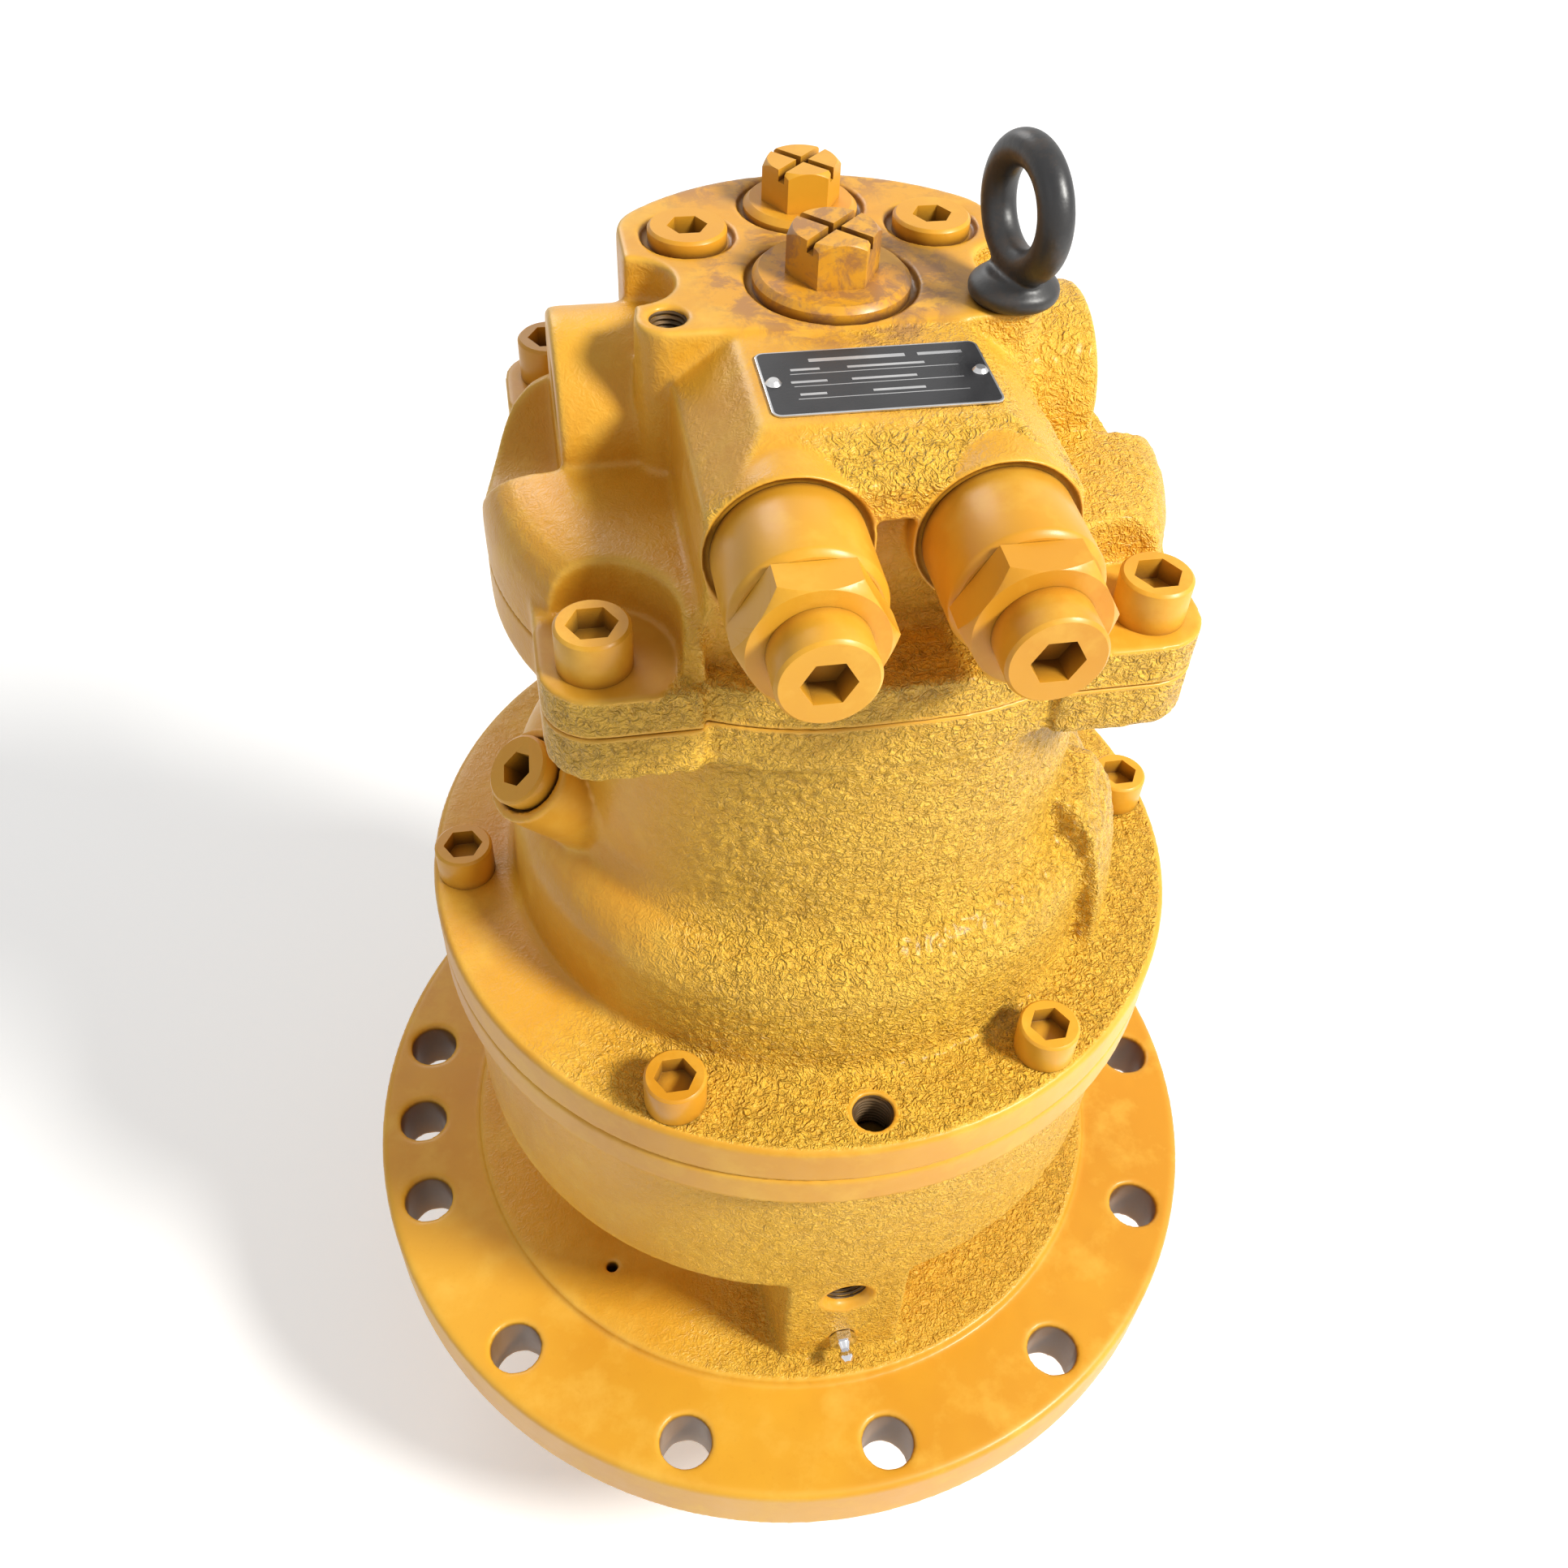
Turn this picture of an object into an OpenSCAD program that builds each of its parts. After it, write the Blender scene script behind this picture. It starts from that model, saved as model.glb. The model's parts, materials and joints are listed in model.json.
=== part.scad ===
// Hydraulic swing motor with a two-stage planetary gear, standing on its mounting flange.
// Origin at the centre of the flange's underside, +Z up through the motor, -Y to the front.
// All sizes in millimetres.

/* [Mounting flange] */
// Outer diameter of the mounting flange
flange_d = 430; // [424:2:450]
// Thickness of the mounting flange
flange_t = 35; // [32:1:38]
// Distance of the mounting holes' centres from the flange's rim
hole_rim = 20; // [18:1:23]
// Number of evenly spaced mounting holes
flange_holes = 13; // [10:1:14]
// Diameter of one mounting hole
flange_hole_d = 24; // [18:1:26]
// Turn of the hole pattern away from the front, in degrees
flange_turn = 4; // [0:1:8]
// Flat width between the mounting holes and the raised machined face
raised_rim = 19.5; // [16:0.5:24]
// Height of the raised face
raised_h = 3.5; // [2:0.5:5]
// Diameter of the locating spigot under the flange
pilot_d = 300; // [280:2:320]
// Height of the locating spigot
pilot_h = 8; // [5:1:10]

/* [Gear case] */
// Outer diameter of the gear case wall
case_d = 306; // [302:1:312]
// Diameter of the bore that holds the ring gear
case_bore_d = 260.6; // [259:0.2:262]
// Diameter of the neck under the wall
neck_d = 220; // [216:1:226]
// Height above the flange underside where the wall starts
wall_foot_z = 118; // [114:1:122]
// Outer diameter of the bolted joint discs
joint_d = 322; // [318:1:330]
// Thickness of the gear case's joint disc
case_disc_t = 18; // [15:1:22]
// Width of the front boss
boss_w = 56; // [50:1:64]
// Distance of the front boss's face from the axis
boss_y = 150; // [146:1:156]
// Diameter of the level port in the front boss
level_port_d = 19; // [14:1:22]
// Height of the level port
level_port_z = 93; // [90:1:95]
// Height of the grease fitting
grease_z = 54; // [50:1:56]
// Outer diameter of the nose under the flange
nose_d = 230; // [226:1:240]
// Length of the nose under the flange
nose_l = 60; // [58:1:66]

/* [Gear train] */
// Module of the planetary gears
gear_m = 4; // [3.9:0.05:4.05]
// Width of the first stage's planet gears
planet_1_w = 26; // [22:1:28]
// Width of the second stage's planet gears
planet_2_w = 34; // [30:1:38]
// Diameter of the first stage's planet pins
pin_1_d = 26; // [22:1:30]
// Diameter of the second stage's planet pins
pin_2_d = 28; // [24:1:32]
// Thickness of each carrier plate
carrier_t = 14; // [11:1:17]
// Radial gap of a running fit
run_gap = 0.05; // [0.03:0.01:0.1]

/* [Output shaft] */
// Module of the output pinion
pinion_m = 10; // [9:0.5:10.5]
// Number of teeth of the output pinion
pinion_teeth = 14; // [12:1:14]
// Width of the output pinion
pinion_w = 73; // [60:1:85]
// Diameter of the lower bearing journal
journal_low_d = 100; // [94:1:106]
// Diameter of the upper bearing journal
journal_up_d = 90; // [84:1:96]
// Outer diameter of the lower output bearing
bearing_low_d = 190; // [184:1:196]
// Outer diameter of the upper output bearing
bearing_up_d = 180; // [174:1:186]

/* [Motor casing] */
// Thickness of the casing's joint disc
casing_disc_t = 21.1; // [18:0.1:24]
// Height of the casing from the joint to the cover seam
casing_h = 190.4; // [186:0.1:196]
// Outer diameter of the casing's neck
casing_neck_d = 209; // [205:1:213]
// Outer diameter of the bulge at its foot
bulge_d = 251; // [246:1:256]
// Height of the bulge's shoulder above the joint
bulge_h = 54; // [48:1:58]
// Reach of the side lobe from the axis
lobe_r = 135; // [130:1:137]
// Height of the side lobe above the joint
lobe_h = 96; // [88:1:100]
// Thickness of the casing's top flange
top_flange_t = 20; // [17:1:23]
// Diameter of the motor cavity
cavity_d = 164; // [160:1:168]
// Diameter of the brake cavity
brake_bore_d = 179; // [176:1:182]

/* [Port cover] */
// Width of the cover's oval outline along X
cover_w = 241; // [236:1:246]
// Depth of the cover's oval outline along Y
cover_l = 216; // [212:1:220]
// Distance between cover screws along X
screw_span_x = 180; // [176:1:184]
// Distance between cover screws along Y
screw_span_y = 168; // [164:1:172]
// Radius of the corner lugs
lug_r = 18; // [16:1:20]
// Thickness of the cover's base plate
plate_t = 16; // [14:1:18]
// Height of the cover's top face above the seam
top_h = 87.4; // [86:0.2:90]
// Distance between the two relief valves
relief_span = 63.6; // [62:0.2:66]
// Height of the relief valves above the seam
relief_h = 56.6; // [55:0.2:58]
// Diameter of a relief valve's barrel
barrel_d = 47; // [44:0.5:48]
// Distance of a port face from the middle
port_x = 92.4; // [90:0.2:95]
// Distance of the ports behind the axis
port_y = 22; // [20:1:24]
// Height of the ports above the seam
port_h = 42; // [40:1:44]
// Diameter of a side port
port_d = 30.2; // [26:0.2:34]

/* [Hidden] */

// General values
$fn = 96;
over = 1;
seat_gap = 0.1;
free_gap = 0.3;
edge = 2;
small_edge = 1;
paint = [0.88, 0.62, 0.18];
paint_dark = [0.78, 0.52, 0.14];
steel = [0.7, 0.7, 0.72];
dark_steel = [0.35, 0.35, 0.37];
black = [0.08, 0.08, 0.09];
bronze = [0.72, 0.5, 0.24];
rubber_black = [0.1, 0.1, 0.1];

// Tooth counts of the planetary gear, all divisible by the three planets
ring_teeth = 57;
sun_1_teeth = 15;
planet_1_teeth = 21;
sun_2_teeth = 21;
planet_2_teeth = 18;
planets = 3;
pressure_angle = 25;
addendum_share = 0.9;
dedendum_share = 1.2;
flank_steps = 4;
tooth_play = 0.2;
carrier_rim = 8;
sun_2_neck_d = 60;
carrier_hub_d = 116;
carrier_seat_d = 84;
centre_1 = gear_m * (sun_1_teeth + planet_1_teeth) / 2;
centre_2 = gear_m * (sun_2_teeth + planet_2_teeth) / 2;

// Heights of the gear case, from the flange underside up
gear_floor_z = 102;
floor_gap = 2;
carrier_2_z = gear_floor_z + floor_gap;
carrier_2_top = carrier_2_z + carrier_t;
ring_seat_z = carrier_2_top + floor_gap;
planet_gap = 4;
planet_2_z = carrier_2_top + planet_gap;
planet_2_top = planet_2_z + planet_2_w;
pin_over = 2;
stage_gap = 8;
carrier_1_z = planet_2_top + stage_gap;
carrier_1_top = carrier_1_z + carrier_t;
planet_1_gap = 3;
planet_1_z = carrier_1_top + planet_1_gap;
planet_1_top = planet_1_z + planet_1_w;
pin_1_over = 3;
ring_over = 1.7;
ring_top = planet_1_top + ring_over;
spigot_h = 14.6;
joint_z = ring_top + free_gap + spigot_h;
seal_groove_r = 134;
seal_r = 1.5;
cover_seal_r = 96.5;
jack_hole_r = 144.7;

// Bearings and seals of the output shaft
bearing_low_w = 40;
bearing_low_top = -4;
bearing_low_z = bearing_low_top - bearing_low_w;
bearing_up_w = 36;
bearing_up_z = 58;
web_bore_d = 112;
output_seal_w = 12;
seal_drop = 1.5;
pinion_gap = 2;
pinion_top = -nose_l - pinion_gap;

// Casting outline of the flange, neck and wall
neck_foot = 12;
flare_z = 84;
wall_round = 9;
wall_sweep = 50;
vent_hole_d = 6;
vent_hole_x = -102.9;
vent_hole_y = -90.3;
vent_depth = 12;
extra_hole_step = 9.5;
extra_hole_shift = 1.5;
boss_splay = 7;
boss_root_y = 96;
port_chamfer = 3;
level_port_l = 26;
drain_passage_d = 8;
drain_passage_y = 99;
grease_thread_d = 9.8;
grease_thread_l = 9;
grease_passage_d = 5;

// Joint screws
case_bolt_pcd = 293;
case_bolts_n = 6;
screw_d = 16;
screw_head_d = 24;
screw_head_h = 16;
screw_socket = 14;
screw_socket_depth = 8;
screw_free_d = 17.5;
case_screw_l = 39;
jack_hole_d = 16;

// Motor casing, heights above the joint
cavity_floor_h = 38.4;
web_low_h = -7.6;
web_bore_low_d = 48;
shaft_seal_h = 2.4;
shaft_seal_w = 12;
shaft_seal_d = 70;
shaft_bearing_h = 16.4;
shaft_bearing_d = 90;
brake_step_h = 120.4;
spigot_bore_d = 230;
flare_l = 24;
neck_top_flare = 3;
bulge_round = 27;
bulge_foot_round = 4;
bulge_sweep = 65;
lobe_from = -37;
lobe_angle = 19;
lobe_shares = [[1, 0], [1, 0.22], [0.985, 0.42], [0.965, 0.6], [0.93, 0.8], [0.865, 0.96], [0.8, 1]];
drain_h = 114.4;
drain_r = 120.4;
drain_turn = 199.4;
drain_tilt = 40;
drain_boss_d = 37;
drain_boss_l = 44;
drain_lip = 2.5;
drain_thread_d = 20.8;
drain_thread_l = 16;
drain_bore_d = 12;
drain_bore_l = 64;

// Rotating group of the motor
shaft_tip_d = 34;
shaft_seal_journal_d = 40;
shaft_d = 44;
shaft_up_d = 34;
shaft_tip_gap = 3;
swash_d = 132;
swash_bore_d = 68;
swash_mid = 22;
swash_tilt = 12;
piston_pcd = 88;
pistons_n = 9;
piston_d = 20;
piston_gap = 0.05;
piston_l = 72;
shoe_d = 19;
shoe_h = 7;
shoe_lift = 34.2;
shoe_neck_d = 11;
shoe_neck_l = 9;
retainer_t = 4;
retainer_d = 114;
block_d = 120;
block_lift = 58;
valve_plate_t = 10;
valve_plate_d = 124;
kidney_w = 10;
kidney_angle = 116;
block_port_d = 8;
block_bore_roof = 12;
upper_bearing_w = 26;
upper_bearing_d = 60;

// Parking brake
disc_t = 2.5;
disc_play = 0.2;
disc_pairs = 3;
friction_d = 172;
separator_bore_d = 125;
brake_piston_h = 34;
brake_piston_bore_d = 126;
brake_springs_n = 12;
brake_spring_pcd = 152;
brake_spring_d = 11;
brake_spring_wire = 1.6;
brake_pocket = 6;

// Port cover, heights above the seam
lug_in_x = 58;
lug_in_y = 30;
dome_h = 20;
dome_shares = [
  [1, 0], [0.995, 0.25], [0.98, 0.5], [0.95, 0.72], [0.91, 0.86], [0.84, 0.95], [0.74, 1]
];
platform_w = 132;
platform_r = 88;
platform_y = 3;
platform_front = 17;
platform_corner = 20;
notch_r = 15;
notch_y = 18;
nose_w = 74;
nose_top = 1.4;
nose_y = 68;
block_w = 114;
block_y = 90;
block_shoulder_h = 71;
band_h = 77;
window_h = 64;
window_depth = 10;
valve_boss_d = 53;
valve_boss_l = 40;
port_boss_d = 63;
port_boss_in = 40;
screw_pocket_r = 27;
port_l = 30;
port_drill_up = 10;
port_drill_d = 12;
kidney_drill_x = 44;
spot_face_l = 34;
feed_port_d = 24.2;
feed_port_l = 22;
feed_sink = 2;
feed_port_y = cover_l / 2 - feed_sink;
feed_boss_d = 42;
feed_boss_l = 40;
feed_spot_d = 36;
feed_h = 38;
feed_drill_d = 12;
tap_boss_r = 11;
tap_x = 56;
tap_y = -6;
tap_d = 12;
tap_l = 22;
tap_chamfer = 0.75;

// Relief valves, places along -Y
counterbore_d = 51;
counterbore_l = 2;
barrel_l = 32;
cartridge_d = 40;
cartridge_end = 45;
cartridge_bore_d = 24;
seat_wall = 4;
seat_hole_d = 10;
nut_af = 41;
nut_l = 12.8;
nut_neck_d = 28;
cap_d = 30;
cap_l = 14;
cap_stem_d = 20;
cap_socket = 14;
cap_socket_l = 9;
poppet_l = 18;
poppet_tip_d = 8;
relief_spring_l = 30;
relief_spring_wire = 2.5;
relief_drill_d = 12;
relief_travel = 3;

// Make-up valves: front and back sizes in this order
makeup_front_y = 12;
makeup_back = 42;
makeup_y = [makeup_front_y, cover_l / 2 - makeup_back];
makeup_flange_d = [52, 40];
makeup_flange_t = [6, 5];
makeup_recess_d = [57.5, 44.6];
makeup_af = [27, 24];
makeup_top = [17.6, 15.6];
makeup_thread_d = [46, 32];
makeup_thread_l = [20.4, 16.4];
makeup_chamber_d = [42, 28];
makeup_seat_h = [44, 46];
makeup_hole_d = [26, 18];
makeup_poppet_d = [34, 24];
makeup_spring_d = [21.6, 15.6];
makeup_bore_d = [24, 18];
makeup_recess_l = 3;
makeup_roof = 6;
makeup_spring_wire = 2;
makeup_poppet_t = 5;
makeup_boss_l = 5;
makeup_lower_l = 10;
slot_w = 3;
slot_depth = 4;

// Gauge plugs and drain plug
gauge_x = 42.5;
gauge_y = 47;
plug_head_d = 27;
plug_head_h = 6;
plug_socket = 12;
gauge_spot_d = 32;
gauge_spot_l = 2.5;
gauge_thread_d = 20.8;
gauge_thread_l = 14;
gauge_drill_l = 12;
drain_head_h = 9;

// Nameplate, eye bolt and grease fitting
plate_w = 70;
plate_l = 35;
plate_x = 1.8;
plate_y = -47.6;
plate_thick = 0.8;
rivet_d = 5;
rivet_shank_d = 3;
rivet_l = 5;
rivet_head = 1.2;
rivet_inset = 3.2;
eye_collar_d = 30;
eye_collar_h = 9;
eye_ring_r = 17.5;
eye_ring_wire = 5.8;
eye_sink = 3;
eye_lean = 12;
fitting_hex = 11;
fitting_hex_l = 4;
fitting_tip_d = 6.6;
fitting_l = 13;
fitting_shares = [[1, 0.3], [0.7, 0.55], [1, 0.75], [1, 0.85], [0.5, 1]];

// Derived heights and radii
flange_pcd = flange_d - 2 * hole_rim;
raised_d = flange_pcd - flange_hole_d - 2 * raised_rim;
seam_z = joint_z + casing_h;
cavity_floor_z = joint_z + cavity_floor_h;
brake_step_z = joint_z + brake_step_h;
casing_disc_top = joint_z + casing_disc_t;
plate_top = seam_z + plate_t;
top_z = seam_z + top_h;
relief_z = seam_z + relief_h;
drill_h = port_h + port_drill_up;
carrier_1_r = centre_1 + pin_1_d / 2 + carrier_rim;
carrier_2_r = centre_2 + pin_2_d / 2 + carrier_rim;
carrier_hub_z = bearing_up_z + bearing_up_w + floor_gap;
shaft_bearing_w = cavity_floor_h - shaft_bearing_h;
block_z = cavity_floor_z + block_lift;
valve_plate_z = seam_z - valve_plate_t;
shoe_z = cavity_floor_z + shoe_lift;
stack_z = brake_step_z + disc_play;
brake_piston_z = stack_z + 2 * disc_pairs * (disc_t + disc_play);
brake_piston_top = brake_piston_z + brake_piston_h;

// Points of a circular arc
function arc(x, y, r, a0, a1, n = 8) =
  [for (i = [0:n]) let (a = a0 + (a1 - a0) * i / n) [x + r * cos(a), y + r * sin(a)]];

// Involute angle in degrees at radius r over the base circle rb
function inv(rb, r) = r <= rb ? 0 : sqrt(pow(r / rb, 2) - 1) * 180 / PI - acos(rb / r);

// Half the angle that a tooth covers at radius r
function half_tooth(n, m, r, play) =
  let (rp = m * n / 2, rb = rp * cos(pressure_angle))
  90 / n - play / (m * n) * 180 / PI + inv(rb, rp) - inv(rb, r);

// One flank, from root to tip, as radius and half angle
function flank(n, m, r0, r1, play) =
  [for (i = [0:flank_steps]) let (r = r0 + (r1 - r0) * i / flank_steps)
    [r, half_tooth(n, m, r, play)]];

// Points of a toothed outline
function gear_points(n, m, root, tip, play) =
  let (rb = m * n / 2 * cos(pressure_angle))
  let (start = max(root, min(rb, tip)))
  let (f = flank(n, m, start, tip, play), h0 = half_tooth(n, m, start, play))
  [for (k = [0:n - 1]) let (c = k * 360 / n) each concat(
    [[root * cos(c - h0), root * sin(c - h0)]],
    [for (s = f) if (s[0] > root) [s[0] * cos(c - s[1]), s[0] * sin(c - s[1])]],
    [for (i = [len(f) - 1:-1:0]) let (s = f[i])
      if (s[0] > root) [s[0] * cos(c + s[1]), s[0] * sin(c + s[1])]],
    [[root * cos(c + h0), root * sin(c + h0)]]
  )];

// Outline of an external gear, first tooth along +X
module gear_outline(n, m, play = tooth_play) {
  rp = m * n / 2;
  polygon(gear_points(n, m, rp - dedendum_share * m, rp + addendum_share * m, play));
}

// Round tube standing on z = 0
module tube(r_out, r_in, h) {
  difference() {
    cylinder(r = r_out, h = h);
    translate([0, 0, -over]) cylinder(r = r_in, h = h + 2 * over);
  }
}

// Groove for a seal ring, cut down from z = 0
module seal_groove(r) {
  translate([0, 0, -2 * seal_r]) tube(r + seal_r + seat_gap, r - seal_r - seat_gap, 2 * seal_r + over);
}

// Cone that cuts a chamfer at a hole's mouth, which lies at z = h
module chamfer_cut(d, h) {
  cylinder(d1 = d, d2 = d + 2 * (h + over), h = h + over);
}

// Hexagon prism by its width across flats
module hexagon(af, h) {
  cylinder(d = af / cos(30), h = h, $fn = 6);
}

// Hexagon prism whose top corners are turned off
module turned_hexagon(af, h) {
  r = af / 2 / cos(30);
  intersection() {
    hexagon(af, h);
    rotate_extrude() polygon([[0, 0], [r, 0], [r, h - (r - af / 2)], [af / 2, h], [0, h]]);
  }
}

// Socket-head screw, head seat at z = 0, shank down
module cap_screw(l) {
  difference() {
    union() {
      rotate_extrude() polygon([
        [0, 0], [screw_head_d / 2, 0], [screw_head_d / 2, screw_head_h - small_edge],
        [screw_head_d / 2 - small_edge, screw_head_h], [0, screw_head_h]
      ]);
      translate([0, 0, -l]) cylinder(d = screw_d, h = l + small_edge);
    }
    translate([0, 0, screw_head_h - screw_socket_depth])
      hexagon(screw_socket, screw_socket_depth + over);
  }
}

// Screw plug with a round head and a hexagon socket, head seat at z = 0
module socket_plug(head_h, thread_d, thread_l) {
  difference() {
    union() {
      rotate_extrude() polygon([
        [0, 0], [plug_head_d / 2, 0], [plug_head_d / 2, head_h - small_edge],
        [plug_head_d / 2 - small_edge, head_h], [0, head_h]
      ]);
      translate([0, 0, -thread_l]) cylinder(d = thread_d, h = thread_l + small_edge);
    }
    translate([0, 0, -thread_l / 2]) hexagon(plug_socket, thread_l / 2 + head_h + over);
  }
}

// Rolling bearing: two rings and rollers, standing on z = 0
module roller_bearing(r_out, r_in, w) {
  ring_w = (r_out - r_in) / 4;
  roller_r = ring_w - seat_gap;
  pitch_r = (r_out + r_in) / 2;
  count = floor(180 / asin((roller_r + free_gap) / pitch_r));
  tube(r_out, r_out - ring_w, w);
  tube(r_in + ring_w, r_in, w);
  for (i = [0:count - 1]) rotate(i * 360 / count)
    translate([pitch_r, 0, ring_w / 2]) cylinder(r = roller_r, h = w - ring_w, $fn = 24);
}

// Places of the four cover screws
module at_cover_screws() {
  for (sx = [-1, 1], sy = [-1, 1])
    translate([sx * screw_span_x / 2, sy * screw_span_y / 2, 0]) children();
}

// Places of the six joint screws
module at_case_screws() {
  for (i = [0:case_bolts_n - 1]) rotate(i * 360 / case_bolts_n)
    translate([case_bolt_pcd / 2, 0, 0]) children();
}

// Frame at the drain plug's seat, +Z out of the casing
module at_drain() {
  rotate(drain_turn) translate([drain_r, 0, joint_z + drain_h]) rotate([0, drain_tilt, 0]) children();
}

// Frame on a relief valve's axis: +Z points to the front, z = 0 on the main axis plane
module at_relief(side) {
  translate([side * relief_span / 2, 0, relief_z]) rotate([90, 0, 0]) children();
}

// Oval outline with four corner lugs, shared by the cover and the casing's top flange
module cover_outline() {
  shift = (cover_w - cover_l) / 2;
  for (s = [-1, 1]) translate([s * shift, 0]) circle(d = cover_l);
  square([2 * shift, cover_l], center = true);
  for (sx = [0, 1], sy = [0, 1]) mirror([sx, 0]) mirror([0, sy]) {
    translate([screw_span_x / 2, screw_span_y / 2]) circle(r = lug_r);
    translate([lug_in_x, lug_in_y])
      square([screw_span_x / 2 - lug_in_x, screw_span_y / 2 + lug_r - lug_in_y]);
    translate([lug_in_x, lug_in_y])
      square([screw_span_x / 2 + lug_r - lug_in_x, screw_span_y / 2 - lug_in_y]);
  }
}

// Gear case with its mounting flange, neck, wall and joint disc
module lower_case() {
  flange_r = flange_d / 2;
  pilot_r = pilot_d / 2;
  nose_r = nose_d / 2;
  neck_r = neck_d / 2;
  case_r = case_d / 2;
  joint_r = joint_d / 2;
  raised_z = flange_t + raised_h;
  disc_z = joint_z - case_disc_t;
  color(paint) difference() {
    union() {
      rotate_extrude() polygon(concat(
        [[0, -nose_l], [nose_r - edge, -nose_l], [nose_r, edge - nose_l], [nose_r, -pilot_h]],
        [[pilot_r - edge, -pilot_h], [pilot_r, edge - pilot_h], [pilot_r, 0]],
        [[flange_r - edge, 0], [flange_r, edge], [flange_r, flange_t - edge], [flange_r - edge, flange_t]],
        [[raised_d / 2, flange_t], [raised_d / 2, raised_z]],
        arc(neck_r + neck_foot, raised_z + neck_foot, neck_foot, 270, 180),
        [[neck_r, flare_z]],
        arc(case_r - wall_round, wall_foot_z, wall_round, -wall_sweep, 0),
        [[case_r, disc_z], [joint_r - small_edge, disc_z], [joint_r, disc_z + small_edge]],
        [[joint_r, joint_z - small_edge], [joint_r - small_edge, joint_z], [0, joint_z]]
      ));
      linear_extrude(wall_foot_z) polygon([
        [-boss_w / 2 - boss_splay, -boss_root_y], [-boss_w / 2, -boss_y],
        [boss_w / 2, -boss_y], [boss_w / 2 + boss_splay, -boss_root_y]
      ]);
    }
    translate([0, 0, -nose_l - over]) cylinder(d = bearing_low_d, h = nose_l + over + bearing_low_top);
    translate([0, 0, bearing_low_top - over])
      cylinder(d = web_bore_d, h = bearing_up_z - bearing_low_top + 2 * over);
    translate([0, 0, bearing_up_z]) cylinder(d = bearing_up_d, h = gear_floor_z - bearing_up_z + over);
    translate([0, 0, gear_floor_z])
      cylinder(r = carrier_2_r + planet_gap, h = ring_seat_z - gear_floor_z + over);
    translate([0, 0, ring_seat_z]) cylinder(d = case_bore_d, h = joint_z - ring_seat_z + over);
    translate([0, 0, joint_z]) seal_groove(seal_groove_r);
    for (i = [0:flange_holes - 1]) rotate(flange_turn - 90 + i * 360 / flange_holes)
      translate([flange_pcd / 2, 0, -over]) cylinder(d = flange_hole_d, h = flange_t + 2 * over);
    rotate(flange_turn - 90 + extra_hole_step * 360 / flange_holes)
      translate([flange_pcd / 2 - extra_hole_shift, 0, -over]) cylinder(d = flange_hole_d, h = flange_t + 2 * over);
    translate([0, 0, casing_disc_top - case_screw_l]) at_case_screws()
      cylinder(d = screw_d + 2 * run_gap, h = case_screw_l);
    translate([vent_hole_x, vent_hole_y, raised_z - vent_depth])
      cylinder(d = vent_hole_d, h = vent_depth + over);
    translate([0, -boss_y, level_port_z]) rotate([-90, 0, 0]) {
      translate([0, 0, -over]) cylinder(d = level_port_d, h = level_port_l + over);
      translate([0, 0, port_chamfer]) mirror([0, 0, 1]) chamfer_cut(level_port_d, port_chamfer);
      cylinder(d = drain_passage_d, h = boss_y - drain_passage_y);
    }
    translate([0, -drain_passage_y, level_port_z])
      cylinder(d = drain_passage_d, h = gear_floor_z - level_port_z + over);
    translate([0, -boss_y, grease_z]) rotate([-90, 0, 0]) {
      translate([0, 0, -over]) cylinder(d = grease_thread_d, h = grease_thread_l + over);
      cylinder(d = grease_passage_d, h = boss_y - web_bore_d / 2 + over);
    }
  }
}

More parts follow.
